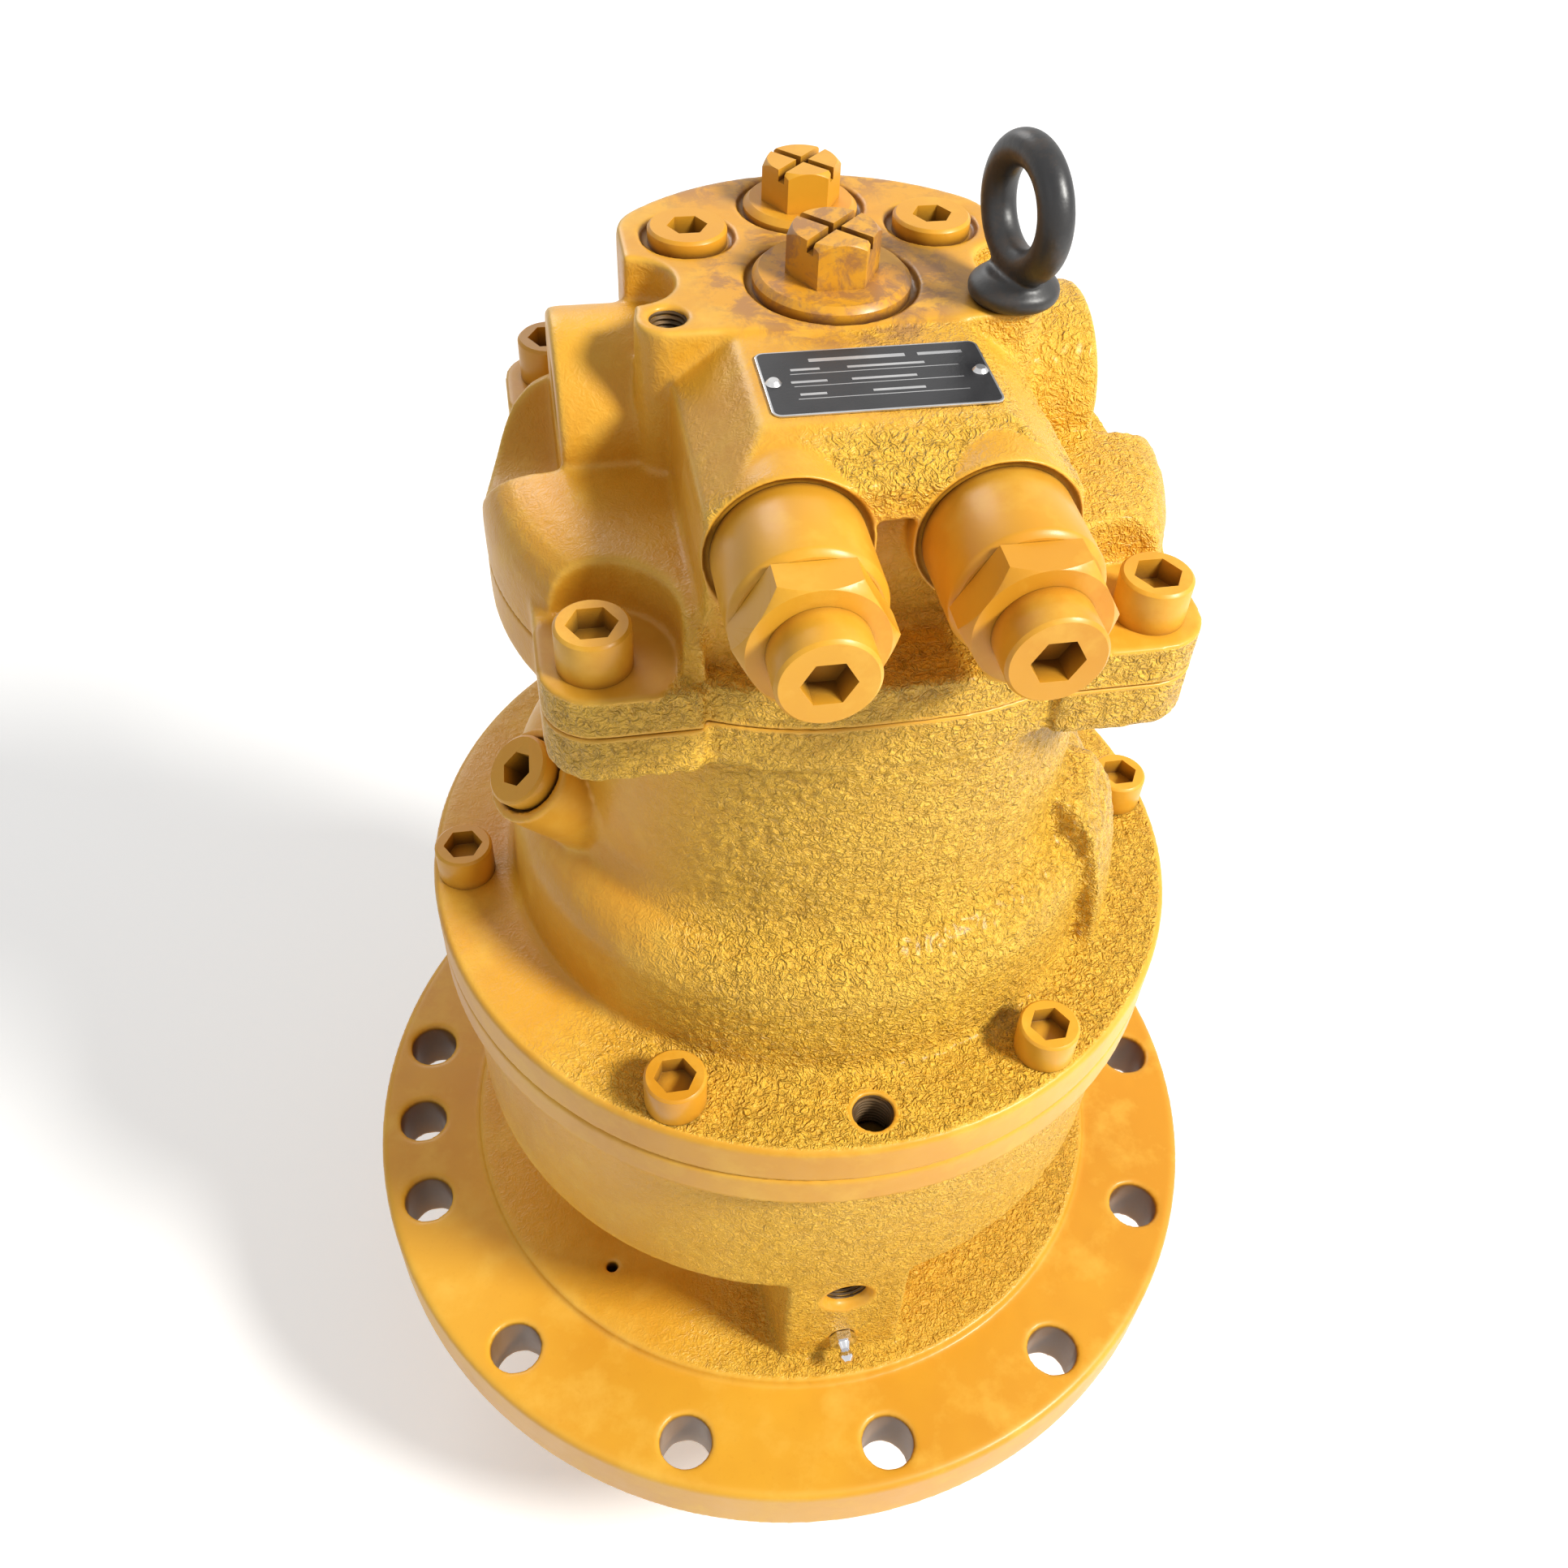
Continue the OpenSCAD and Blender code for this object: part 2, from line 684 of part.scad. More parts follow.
// Cast motor casing with its bulge, side lobe, drain boss and top flange
module motor_casing() {
  neck_r = casing_neck_d / 2;
  neck_top_r = neck_r + neck_top_flare;
  bulge_r = bulge_d / 2;
  joint_r = joint_d / 2;
  flange_z = seam_z - top_flange_t;
  shoulder_r = neck_r + edge;
  shoulder_x = shoulder_r - bulge_round * cos(bulge_sweep) + edge;
  lobe_foot_z = casing_disc_top - edge;
  color(paint) difference() {
    union() {
      translate([0, 0, joint_z - spigot_h]) cylinder(d = case_bore_d - 2 * seat_gap, h = spigot_h + over);
      rotate_extrude() polygon(concat(
        [[0, joint_z], [joint_r - small_edge, joint_z], [joint_r, joint_z + small_edge]],
        [[joint_r, casing_disc_top - edge], [joint_r - edge, casing_disc_top]],
        arc(bulge_r + bulge_foot_round, casing_disc_top + bulge_foot_round, bulge_foot_round, 270, 180, 4),
        arc(shoulder_x, joint_z + bulge_h, bulge_round, 0, bulge_sweep),
        [[neck_r, joint_z + bulge_h + bulge_round + 4 * edge], [neck_r, flange_z - flare_l]],
        [[neck_top_r, flange_z], [neck_top_r, flange_z + edge], [0, flange_z + edge]]
      ));
      rotate(lobe_from) rotate_extrude(angle = lobe_angle) polygon(concat(
        [[cavity_d / 2 + edge, joint_z + edge]],
        [for (s = lobe_shares) [lobe_r * s[0], lobe_foot_z + (joint_z + lobe_h - lobe_foot_z) * s[1]]],
        [[cavity_d / 2 + edge, joint_z + lobe_h]]
      ));
      translate([0, 0, flange_z]) linear_extrude(top_flange_t) cover_outline();
      at_drain() translate([0, 0, -drain_boss_l]) cylinder(d = drain_boss_d, h = drain_boss_l + drain_lip);
    }
    translate([0, 0, joint_z - spigot_h - over])
      cylinder(d = spigot_bore_d, h = spigot_h + over + web_low_h);
    translate([0, 0, joint_z + web_low_h - over])
      cylinder(d = web_bore_low_d, h = shaft_seal_h - web_low_h + 2 * over);
    translate([0, 0, joint_z + shaft_seal_h])
      cylinder(d = shaft_seal_d, h = shaft_bearing_h - shaft_seal_h + over);
    translate([0, 0, joint_z + shaft_bearing_h]) cylinder(d = shaft_bearing_d, h = shaft_bearing_w + over);
    translate([0, 0, cavity_floor_z]) cylinder(d = cavity_d, h = brake_step_z - cavity_floor_z + over);
    translate([0, 0, brake_step_z]) cylinder(d = brake_bore_d, h = seam_z - brake_step_z + over);
    translate([0, 0, seam_z]) seal_groove(cover_seal_r);
    translate([0, 0, joint_z - over]) at_case_screws()
      cylinder(d = screw_free_d, h = casing_disc_t + 2 * over);
    translate([0, -jack_hole_r, joint_z - over]) cylinder(d = jack_hole_d, h = casing_disc_t + 2 * over);
    translate([0, 0, seam_z - top_flange_t - over]) at_cover_screws()
      cylinder(d = screw_d + 2 * run_gap, h = top_flange_t + 2 * over);
    at_drain() {
      cylinder(d = plug_head_d + 2 * small_edge, h = drain_lip + over);
      translate([0, 0, -drain_thread_l - edge])
        cylinder(d = drain_thread_d + 2 * run_gap, h = drain_thread_l + edge + over);
      translate([0, 0, -drain_bore_l]) cylinder(d = drain_bore_d, h = drain_bore_l);
    }
  }
}

// Side view of one half of the cover's low dome
module dome_profile() {
  polygon(concat(
    [[0, 0], [cover_l / 2, 0]],
    [for (s = dome_shares) [cover_l / 2 * s[0], plate_t + dome_h * s[1]]],
    [[0, plate_t + dome_h]]
  ));
}

// Outline of the cover's flat top: round back corners, two side notches and two tapped bosses
module platform_outline() {
  corner_x = platform_w / 2 - platform_corner;
  reach = platform_r - platform_corner;
  corner_angle = acos(corner_x / reach);
  corner_y = platform_y + reach * sin(corner_angle);
  back_steps = 16;
  back_angle = corner_angle + (180 - 2 * corner_angle) / back_steps;
  difference() {
    union() {
      polygon(concat(
        [[-platform_w / 2, tap_y], [platform_w / 2, tap_y]],
        arc(corner_x, corner_y, platform_corner, 0, corner_angle),
        arc(0, platform_y, platform_r, back_angle, 180 - back_angle, back_steps - 2),
        arc(-corner_x, corner_y, platform_corner, 180 - corner_angle, 180)
      ));
      translate([-tap_x, -platform_front]) square([2 * tap_x, platform_front + platform_y]);
      for (s = [-1, 1]) translate([s * tap_x, tap_y]) circle(r = tap_boss_r);
    }
    for (s = [-1, 1]) translate([s * platform_w / 2, notch_y]) circle(r = notch_r);
  }
}

// Solid body of the port cover before it is drilled
module cover_casting() {
  shift = (cover_w - cover_l) / 2;
  nose_h = top_h - nose_top;
  block_back_y = platform_front - edge;
  linear_extrude(plate_t) cover_outline();
  for (m = [0, 1]) mirror([m, 0, 0]) translate([shift, 0, 0]) rotate_extrude() dome_profile();
  translate([-shift, 0, 0]) rotate([90, 0, 90]) linear_extrude(2 * shift)
    for (m = [0, 1]) mirror([m, 0]) dome_profile();
  linear_extrude(top_h) platform_outline();
  intersection() {
    translate([0, -block_back_y, 0]) rotate([90, 0, 0]) linear_extrude(block_y - block_back_y)
      polygon([
        [-block_w / 2, 0], [block_w / 2, 0], [block_w / 2, block_shoulder_h],
        [nose_w / 2, nose_h], [-nose_w / 2, nose_h], [-block_w / 2, block_shoulder_h]
      ]);
    translate([-block_w / 2, 0, 0]) rotate([90, 0, 90]) linear_extrude(block_w)
      polygon([[-block_y, 0], [-block_y, band_h], [-nose_y, nose_h], [0, nose_h], [0, 0]]);
  }
  translate([-nose_w / 2, -nose_y, 0]) cube([nose_w, nose_y - platform_front + over, nose_h]);
  for (s = [-1, 1]) {
    translate([s * relief_span / 2, valve_boss_l - block_y, relief_h]) rotate([90, 0, 0])
      cylinder(d = valve_boss_d, h = valve_boss_l);
    translate([s * port_boss_in, port_y, port_h]) rotate([0, s * 90, 0])
      cylinder(d = port_boss_d, h = port_x - port_boss_in);
  }
  translate([0, feed_port_y, feed_h]) rotate([90, 0, 0]) cylinder(d = feed_boss_d, h = feed_boss_l);
}

// Recesses and faces cut into the outside of the port cover
module cover_cuts() {
  translate([-block_w / 2, -cover_l, plate_t]) cube([block_w, cover_l - block_y, top_h]);
  difference() {
    translate([-relief_span / 2, -block_y - over, plate_t])
      cube([relief_span, window_depth + over, window_h - plate_t]);
    for (s = [-1, 1]) translate([s * relief_span / 2, 0, relief_h]) rotate([90, 0, 0])
      cylinder(d = valve_boss_d, h = block_y + 2 * over);
  }
  at_cover_screws() {
    translate([0, 0, plate_t]) cylinder(r = screw_pocket_r, h = top_h);
    translate([0, 0, -over]) cylinder(d = screw_free_d, h = plate_t + 2 * over);
  }
  for (s = [-1, 1]) {
    translate([s * port_x, port_y, port_h]) rotate([0, s * 90, 0])
      cylinder(d = port_boss_d - 2 * small_edge, h = spot_face_l);
    translate([s * (port_x - port_l), port_y, port_h]) rotate([0, s * 90, 0])
      cylinder(d = port_d, h = port_l + over);
    translate([s * tap_x, tap_y, top_h - tap_l]) {
      cylinder(d = tap_d, h = tap_l + over);
      translate([0, 0, tap_l - tap_chamfer]) chamfer_cut(tap_d, tap_chamfer);
    }
    translate([s * gauge_x, gauge_y, top_h]) {
      translate([0, 0, -gauge_spot_l]) cylinder(d = gauge_spot_d, h = gauge_spot_l + over);
      translate([0, 0, -gauge_spot_l - gauge_thread_l - over])
        cylinder(d = gauge_thread_d + 2 * run_gap, h = gauge_thread_l + 2 * over);
      translate([0, 0, -gauge_spot_l - gauge_thread_l - gauge_drill_l])
        cylinder(d = drain_passage_d, h = gauge_drill_l);
    }
  }
  translate([0, feed_port_y, feed_h]) rotate([-90, 0, 0]) {
    cylinder(d = feed_spot_d, h = spot_face_l);
    translate([0, 0, -feed_port_l]) cylinder(d = feed_port_d, h = feed_port_l + over);
    translate([0, 0, makeup_y[0] - feed_port_y])
      cylinder(d = feed_drill_d, h = feed_port_y - makeup_y[0]);
  }
}

// Stepped holes for the valves and the shaft's upper bearing
module cover_bores() {
  translate([0, 0, -over]) cylinder(d = upper_bearing_d, h = upper_bearing_w + over);
  for (i = [0, 1]) translate([0, makeup_y[i], 0]) {
    seat_h = top_h - makeup_recess_l;
    translate([0, 0, seat_h]) cylinder(d = makeup_recess_d[i], h = makeup_recess_l + over);
    translate([0, 0, seat_h - makeup_thread_l[i]])
      cylinder(d = makeup_thread_d[i] + 2 * run_gap, h = makeup_thread_l[i] + over);
    translate([0, 0, makeup_seat_h[i]])
      cylinder(d = makeup_chamber_d[i], h = seat_h - makeup_thread_l[i] - makeup_seat_h[i] + over);
    translate([0, 0, makeup_seat_h[i] - makeup_lower_l])
      cylinder(d = makeup_hole_d[i], h = makeup_lower_l + over);
  }
  for (s = [-1, 1]) {
    translate([s * relief_span / 2, -block_y - over, relief_h]) rotate([-90, 0, 0]) {
      cylinder(d = counterbore_d, h = counterbore_l + over);
      cylinder(d = cartridge_d + 2 * run_gap, h = block_y - cartridge_end + over);
      cylinder(d = relief_drill_d, h = block_y + port_y + (s + 1) / 2 * port_drill_d + over);
    }
    translate([s * kidney_drill_x, port_y, -over]) cylinder(d = port_drill_d, h = drill_h + over);
  }
  translate([-port_x + port_l, port_y, drill_h]) rotate([0, 90, 0])
    cylinder(d = port_drill_d, h = port_x - port_l - makeup_chamber_d[0] / 3);
  translate([port_x - port_l, port_y, drill_h]) rotate([0, -90, 0])
    cylinder(d = port_drill_d, h = port_x - port_l - kidney_drill_x + port_drill_d / 2);
  dx = kidney_drill_x;
  dy = makeup_y[1] - port_y;
  translate([kidney_drill_x, port_y, drill_h]) rotate(atan2(dy, -dx)) rotate([0, 90, 0])
    cylinder(d = port_drill_d, h = sqrt(dx * dx + dy * dy) - makeup_chamber_d[1] / 3);
  for (s = [-1, 1])
    translate([plate_x + s * (plate_w / 2 - rivet_inset), plate_y, top_h - nose_top - rivet_l])
      cylinder(d = rivet_shank_d + 2 * run_gap, h = rivet_l + over);
}

// Cast port cover with its valve block
module port_cover() {
  color(paint) translate([0, 0, seam_z]) difference() {
    cover_casting();
    cover_cuts();
    cover_bores();
  }
}

// Six screws of the joint between case and casing
module case_bolts() {
  color(paint) translate([0, 0, casing_disc_top]) at_case_screws() cap_screw(case_screw_l - edge);
}

// Four screws of the port cover
module cover_bolts() {
  color(paint) translate([0, 0, plate_top]) at_cover_screws() cap_screw(plate_t + top_flange_t - edge);
}

// Barrel and screwed-in sleeve of a relief valve
module relief_body(side) {
  seat_y = block_y - counterbore_l;
  front_y = seat_y + barrel_l;
  color(paint) at_relief(side) difference() {
    union() {
      translate([0, 0, cartridge_end]) cylinder(d = cartridge_d, h = seat_y - cartridge_end + over);
      translate([0, 0, seat_y]) rotate_extrude() polygon([
        [0, 0], [barrel_d / 2, 0], [barrel_d / 2, barrel_l - edge],
        [barrel_d / 2 - edge, barrel_l], [0, barrel_l]
      ]);
      translate([0, 0, front_y]) cylinder(d = nut_neck_d, h = nut_l);
    }
    translate([0, 0, cartridge_end - over]) cylinder(d = seat_hole_d, h = seat_wall + 2 * over);
    translate([0, 0, cartridge_end + seat_wall])
      cylinder(d = cartridge_bore_d, h = front_y - cartridge_end - 2 * seat_wall);
    translate([0, 0, front_y - seat_wall - over])
      cylinder(d = cap_stem_d + 2 * run_gap, h = seat_wall + nut_l + 2 * over);
  }
}

// Lock nut of a relief valve
module relief_nut(side) {
  front_y = block_y - counterbore_l + barrel_l;
  color(paint_dark) at_relief(side) translate([0, 0, front_y + seat_gap]) difference() {
    turned_hexagon(nut_af, nut_l - seat_gap);
    translate([0, 0, -over]) cylinder(d = nut_neck_d + 2 * run_gap, h = nut_l + 2 * over);
  }
}

// Adjusting cap of a relief valve, its stem held in the body
module relief_cap(side) {
  front_y = block_y - counterbore_l + barrel_l + nut_l;
  stem_y = cartridge_end + seat_wall + poppet_l + relief_spring_l + 2 * seat_gap;
  color(paint) at_relief(side) difference() {
    union() {
      translate([0, 0, stem_y]) cylinder(d = cap_stem_d, h = front_y - stem_y + over);
      translate([0, 0, front_y + seat_gap]) rotate_extrude() polygon([
        [0, 0], [cap_d / 2, 0], [cap_d / 2, cap_l - small_edge],
        [cap_d / 2 - small_edge, cap_l], [0, cap_l]
      ]);
    }
    translate([0, 0, front_y + cap_l - cap_socket_l]) hexagon(cap_socket, cap_socket_l + over);
  }
}

// Poppet of a relief valve, tip against its seat
module relief_poppet(side) {
  r = cartridge_bore_d / 2 - run_gap;
  color(steel) at_relief(side) translate([0, 0, cartridge_end + seat_wall + seat_gap / 2])
    rotate_extrude() polygon([
      [0, -edge], [poppet_tip_d / 2, -edge], [poppet_tip_d / 2, 0], [r - edge, 0],
      [r, edge], [r, poppet_l - edge], [0, poppet_l - edge]
    ]);
}

// Spring of a relief valve
module relief_spring(side) {
  r = cap_stem_d / 2;
  color(dark_steel) at_relief(side)
    translate([0, 0, cartridge_end + seat_wall + poppet_l - edge + 2 * seat_gap])
      tube(r, r - relief_spring_wire, relief_spring_l + edge - 2 * seat_gap - relief_travel);
}

// Hexagon plug with crossed slots over a make-up valve
module makeup_plug(i) {
  seat_z = top_z - makeup_recess_l;
  hex_h = makeup_top[i] + makeup_recess_l - makeup_flange_t[i];
  af = makeup_af[i];
  color(paint) translate([0, makeup_y[i], seat_z]) difference() {
    union() {
      rotate_extrude() polygon([
        [0, 0], [makeup_flange_d[i] / 2, 0], [makeup_flange_d[i] / 2, makeup_flange_t[i] - edge],
        [makeup_flange_d[i] / 2 - edge, makeup_flange_t[i]], [0, makeup_flange_t[i]]
      ]);
      translate([0, 0, makeup_flange_t[i]]) turned_hexagon(af, hex_h);
      translate([0, 0, -makeup_thread_l[i]])
        cylinder(d = makeup_thread_d[i], h = makeup_thread_l[i] + small_edge);
    }
    translate([0, 0, -makeup_thread_l[i] - over])
      cylinder(d = makeup_bore_d[i], h = makeup_thread_l[i] - makeup_roof + over);
    for (a = [0, 90]) rotate(a + 45) translate([-af, -slot_w / 2, makeup_flange_t[i] + hex_h - slot_depth])
      cube([2 * af, slot_w, slot_depth + over]);
  }
}

// Check poppet of a make-up valve
module makeup_poppet(i) {
  boss_r = makeup_spring_d[i] / 2 - makeup_spring_wire - seat_gap;
  seat_z = seam_z + makeup_seat_h[i] + seat_gap / 2;
  color(steel) translate([0, makeup_y[i], seat_z]) rotate_extrude() polygon([
    [0, -edge], [makeup_hole_d[i] / 2 - edge, -edge], [makeup_hole_d[i] / 2 - free_gap, 0],
    [makeup_poppet_d[i] / 2, 0], [makeup_poppet_d[i] / 2, makeup_poppet_t], [boss_r, makeup_poppet_t],
    [boss_r, makeup_poppet_t + makeup_boss_l], [0, makeup_poppet_t + makeup_boss_l]
  ]);
}

// Spring of a make-up valve, between its poppet and the plug
module makeup_spring(i) {
  low_z = seam_z + makeup_seat_h[i] + makeup_poppet_t + seat_gap;
  high_z = top_z - makeup_recess_l - makeup_roof - seat_gap;
  color(dark_steel) translate([0, makeup_y[i], low_z])
    tube(makeup_spring_d[i] / 2, makeup_spring_d[i] / 2 - makeup_spring_wire, high_z - low_z);
}

// Two plugs over the gauge ports
module gauge_plugs() {
  color(paint) for (s = [-1, 1]) translate([s * gauge_x, gauge_y, top_z - gauge_spot_l])
    socket_plug(plug_head_h, gauge_thread_d, gauge_thread_l);
}

// Thin rectangular plate on the cover
module nameplate() {
  color(black) translate([plate_x, plate_y, top_z - nose_top]) difference() {
    translate([-plate_w / 2, -plate_l / 2, 0]) cube([plate_w, plate_l, plate_thick]);
    for (s = [-1, 1]) translate([s * (plate_w / 2 - rivet_inset), 0, -over])
      cylinder(d = rivet_shank_d + 2 * run_gap, h = plate_thick + 2 * over);
  }
}

// Two rivets that hold the plate
module nameplate_rivets() {
  color(steel) for (s = [-1, 1])
    translate([plate_x + s * (plate_w / 2 - rivet_inset), plate_y, top_z - nose_top + plate_thick]) {
      cylinder(d1 = rivet_d, d2 = rivet_shank_d, h = rivet_head);
      translate([0, 0, edge - rivet_l]) cylinder(d = rivet_shank_d, h = rivet_l - edge + small_edge);
    }
}

// Eye bolt in the cover's right tapped hole
module eye_bolt() {
  color(black) translate([tap_x, tap_y, top_z]) {
    rotate_extrude() polygon([
      [0, 0], [eye_collar_d / 2 - edge, 0], [eye_collar_d / 2, edge],
      [eye_collar_d / 2, eye_collar_h - 2 * edge], [eye_collar_d / 3, eye_collar_h], [0, eye_collar_h]
    ]);
    translate([0, 0, edge - tap_l]) cylinder(d = tap_d - 2 * run_gap, h = tap_l);
    translate([0, 0, eye_collar_h + eye_ring_r + eye_ring_wire - eye_sink]) rotate([0, 90, eye_lean])
      rotate_extrude() translate([eye_ring_r, 0]) circle(r = eye_ring_wire);
  }
}

// Plug in the casing's drain boss
module drain_plug() {
  color(paint) at_drain() socket_plug(drain_head_h, drain_thread_d, drain_thread_l);
}

// Grease nipple in the front boss
module grease_fitting() {
  tip_r = fitting_tip_d / 2;
  color(steel) translate([0, -boss_y, grease_z]) rotate([90, 0, 0]) {
    translate([0, 0, -grease_thread_l + edge])
      cylinder(d = grease_thread_d - 2 * run_gap, h = grease_thread_l - edge);
    hexagon(fitting_hex, fitting_hex_l);
    rotate_extrude() polygon(concat(
      [[0, fitting_l * fitting_shares[0][1]]],
      [for (s = fitting_shares) [tip_r * s[0], fitting_l * s[1]]],
      [[0, fitting_l]]
    ));
  }
}

// Seal ring in the joint between case and casing
module case_seal_ring() {
  color(rubber_black) translate([0, 0, joint_z - seal_r]) rotate_extrude()
    translate([seal_groove_r, 0]) circle(r = seal_r - seat_gap, $fn = 24);
}

// Seal ring in the joint between casing and cover
module cover_seal_ring() {
  color(rubber_black) translate([0, 0, seam_z - seal_r]) rotate_extrude()
    translate([cover_seal_r, 0]) circle(r = seal_r - seat_gap, $fn = 24);
}

// Motor shaft from the first sun gear up into the cover
module drive_shaft() {
  low_z = planet_1_z + shaft_tip_gap;
  up_z = seam_z + upper_bearing_w - shaft_tip_gap;
  tip_r = shaft_tip_d / 2;
  journal_r = shaft_seal_journal_d / 2;
  up_r = shaft_up_d / 2;
  color(steel) rotate_extrude() polygon([
    [0, low_z], [tip_r - small_edge, low_z], [tip_r, low_z + small_edge],
    [tip_r, joint_z + shaft_seal_h - edge],
    [journal_r, joint_z + shaft_seal_h - edge], [journal_r, joint_z + shaft_bearing_h - small_edge],
    [shaft_d / 2, joint_z + shaft_bearing_h - small_edge], [shaft_d / 2, valve_plate_z - edge],
    [up_r, valve_plate_z - edge], [up_r, up_z - small_edge], [up_r - small_edge, up_z], [0, up_z]
  ]);
}

// Bearing of the motor shaft in the casing
module shaft_bearing_lower() {
  color(steel) translate([0, 0, joint_z + shaft_bearing_h])
    roller_bearing(shaft_bearing_d / 2 - seat_gap, shaft_d / 2 + run_gap, shaft_bearing_w - seat_gap);
}

// Bearing of the motor shaft in the cover
module shaft_bearing_upper() {
  color(steel) translate([0, 0, seam_z + seat_gap])
    roller_bearing(upper_bearing_d / 2 - seat_gap, shaft_up_d / 2 + run_gap, upper_bearing_w - 2 * seat_gap);
}

// Lip seal of the motor shaft
module shaft_seal() {
  color(rubber_black) translate([0, 0, joint_z + shaft_seal_h])
    tube(shaft_seal_d / 2 - seat_gap, shaft_seal_journal_d / 2 + run_gap, shaft_seal_w);
}

// Cylinder block with its bores
module cylinder_block() {
  h = valve_plate_z - seat_gap - block_z;
  color(steel) translate([0, 0, block_z]) difference() {
    cylinder(d = block_d, h = h);
    translate([0, 0, -over]) cylinder(d = shaft_d + 2 * seat_gap, h = h + 2 * over);
    for (i = [0:pistons_n - 1]) rotate(i * 360 / pistons_n) translate([piston_pcd / 2, 0, 0]) {
      translate([0, 0, -over]) cylinder(d = piston_d + 2 * piston_gap, h = h - block_bore_roof + over);
      cylinder(d = block_port_d, h = h + over);
    }
  }
}

// Nine pistons, each with its slipper shoe
module pistons() {
  color(bronze) for (i = [0:pistons_n - 1]) rotate(i * 360 / pistons_n)
    translate([piston_pcd / 2, 0, shoe_z]) rotate_extrude() polygon([
      [0, 0], [shoe_d / 2, 0], [shoe_d / 2, shoe_h], [shoe_neck_d / 2, shoe_h],
      [shoe_neck_d / 2, shoe_h + shoe_neck_l], [piston_d / 2 - small_edge, shoe_h + shoe_neck_l],
      [piston_d / 2, shoe_h + shoe_neck_l + small_edge], [piston_d / 2, shoe_h + piston_l],
      [0, shoe_h + piston_l]
    ]);
}

// Plate that holds the slipper shoes down
module retainer_plate() {
  color(steel) translate([0, 0, shoe_z + shoe_h + seat_gap]) difference() {
    tube(retainer_d / 2, shaft_d / 2 + seat_gap, retainer_t);
    for (i = [0:pistons_n - 1]) rotate(i * 360 / pistons_n) translate([piston_pcd / 2, 0, -over])
      cylinder(d = shoe_neck_d + 2 * free_gap, h = retainer_t + 2 * over);
  }
}

// Valve plate with two kidney slots
module valve_plate() {
  color(bronze) translate([0, 0, valve_plate_z]) difference() {
    tube(valve_plate_d / 2, shaft_up_d / 2 + edge, valve_plate_t);
    for (a = [0, 180]) rotate(a - kidney_angle / 2) rotate_extrude(angle = kidney_angle)
      translate([piston_pcd / 2 - kidney_w / 2, -over]) square([kidney_w, valve_plate_t + 2 * over]);
  }
}

// Fixed slanted plate that the shoes slide on
module swash_plate() {
  h = swash_mid + swash_d / 2 * tan(swash_tilt) + over;
  color(steel) translate([0, 0, cavity_floor_z]) difference() {
    tube(swash_d / 2, swash_bore_d / 2, h);
    translate([0, 0, swash_mid]) rotate([swash_tilt, 0, 0]) translate([-swash_d, -swash_d, 0])
      cube([2 * swash_d, 2 * swash_d, swash_d]);
  }
}

// Friction discs carried round by the cylinder block
module friction_discs() {
  color(dark_steel) for (i = [0:disc_pairs - 1])
    translate([0, 0, stack_z + (2 * i + 1) * (disc_t + disc_play)])
      tube(friction_d / 2, block_d / 2 + seat_gap, disc_t);
}

// Separator plates held by the casing
module separator_plates() {
  color(steel) for (i = [0:disc_pairs - 1])
    translate([0, 0, stack_z + 2 * i * (disc_t + disc_play)])
      tube(brake_bore_d / 2 - 2 * seat_gap, separator_bore_d / 2, disc_t);
}

// Ring piston that presses the discs together
module brake_piston() {
  color(steel) translate([0, 0, brake_piston_z]) difference() {
    tube(brake_bore_d / 2 - run_gap, brake_piston_bore_d / 2, brake_piston_h);
    for (i = [0:brake_springs_n - 1]) rotate(i * 360 / brake_springs_n)
      translate([brake_spring_pcd / 2, 0, brake_piston_h - brake_pocket])
        cylinder(d = brake_spring_d + edge, h = brake_pocket + over);
  }
}

// Springs between the brake piston and the cover
module brake_springs() {
  low_z = brake_piston_top - brake_pocket + seat_gap;
  color(dark_steel) for (i = [0:brake_springs_n - 1]) rotate(i * 360 / brake_springs_n)
    translate([brake_spring_pcd / 2, 0, low_z])
      tube(brake_spring_d / 2, brake_spring_d / 2 - brake_spring_wire, seam_z - seat_gap - low_z);
}

// First sun gear, on the motor shaft
module sun_gear_1() {
  color(steel) translate([0, 0, planet_1_z]) difference() {
    linear_extrude(planet_1_w + pin_1_over + edge) gear_outline(sun_1_teeth, gear_m);
    translate([0, 0, -over])
      cylinder(d = shaft_tip_d + 2 * seat_gap, h = planet_1_w + pin_1_over + 2 * edge + over);
  }
}

// Planet gear of the first stage, number k of three
module planet_1(k) {
  color(steel) rotate(k * 360 / planets) translate([centre_1, 0, planet_1_z]) difference() {
    linear_extrude(planet_1_w) gear_outline(planet_1_teeth, gear_m);
    translate([0, 0, -over]) cylinder(d = pin_1_d + 2 * run_gap, h = planet_1_w + 2 * over);
  }
}

// Pins of the first stage's planets
module planet_pins_1() {
  color(dark_steel) for (k = [0:planets - 1]) rotate(k * 360 / planets)
    translate([centre_1, 0, carrier_1_z])
      cylinder(d = pin_1_d, h = planet_1_top + pin_1_over - carrier_1_z);
}

// Carrier plate of the first stage
module carrier_1() {
  color(dark_steel) translate([0, 0, carrier_1_z]) difference() {
    union() {
      cylinder(r = carrier_1_r, h = carrier_t);
      for (k = [0:planets - 1]) rotate(k * 360 / planets) translate([centre_1, 0, 0])
        cylinder(d = pin_1_d + 4 * edge, h = carrier_t + planet_1_gap - free_gap);
    }
    translate([0, 0, -over]) cylinder(d = sun_2_neck_d + 2 * seat_gap, h = carrier_t + 2 * over);
    for (k = [0:planets - 1]) rotate(k * 360 / planets) translate([centre_1, 0, -over])
      cylinder(d = pin_1_d + 2 * run_gap, h = carrier_t + planet_1_gap + 2 * over);
  }
}

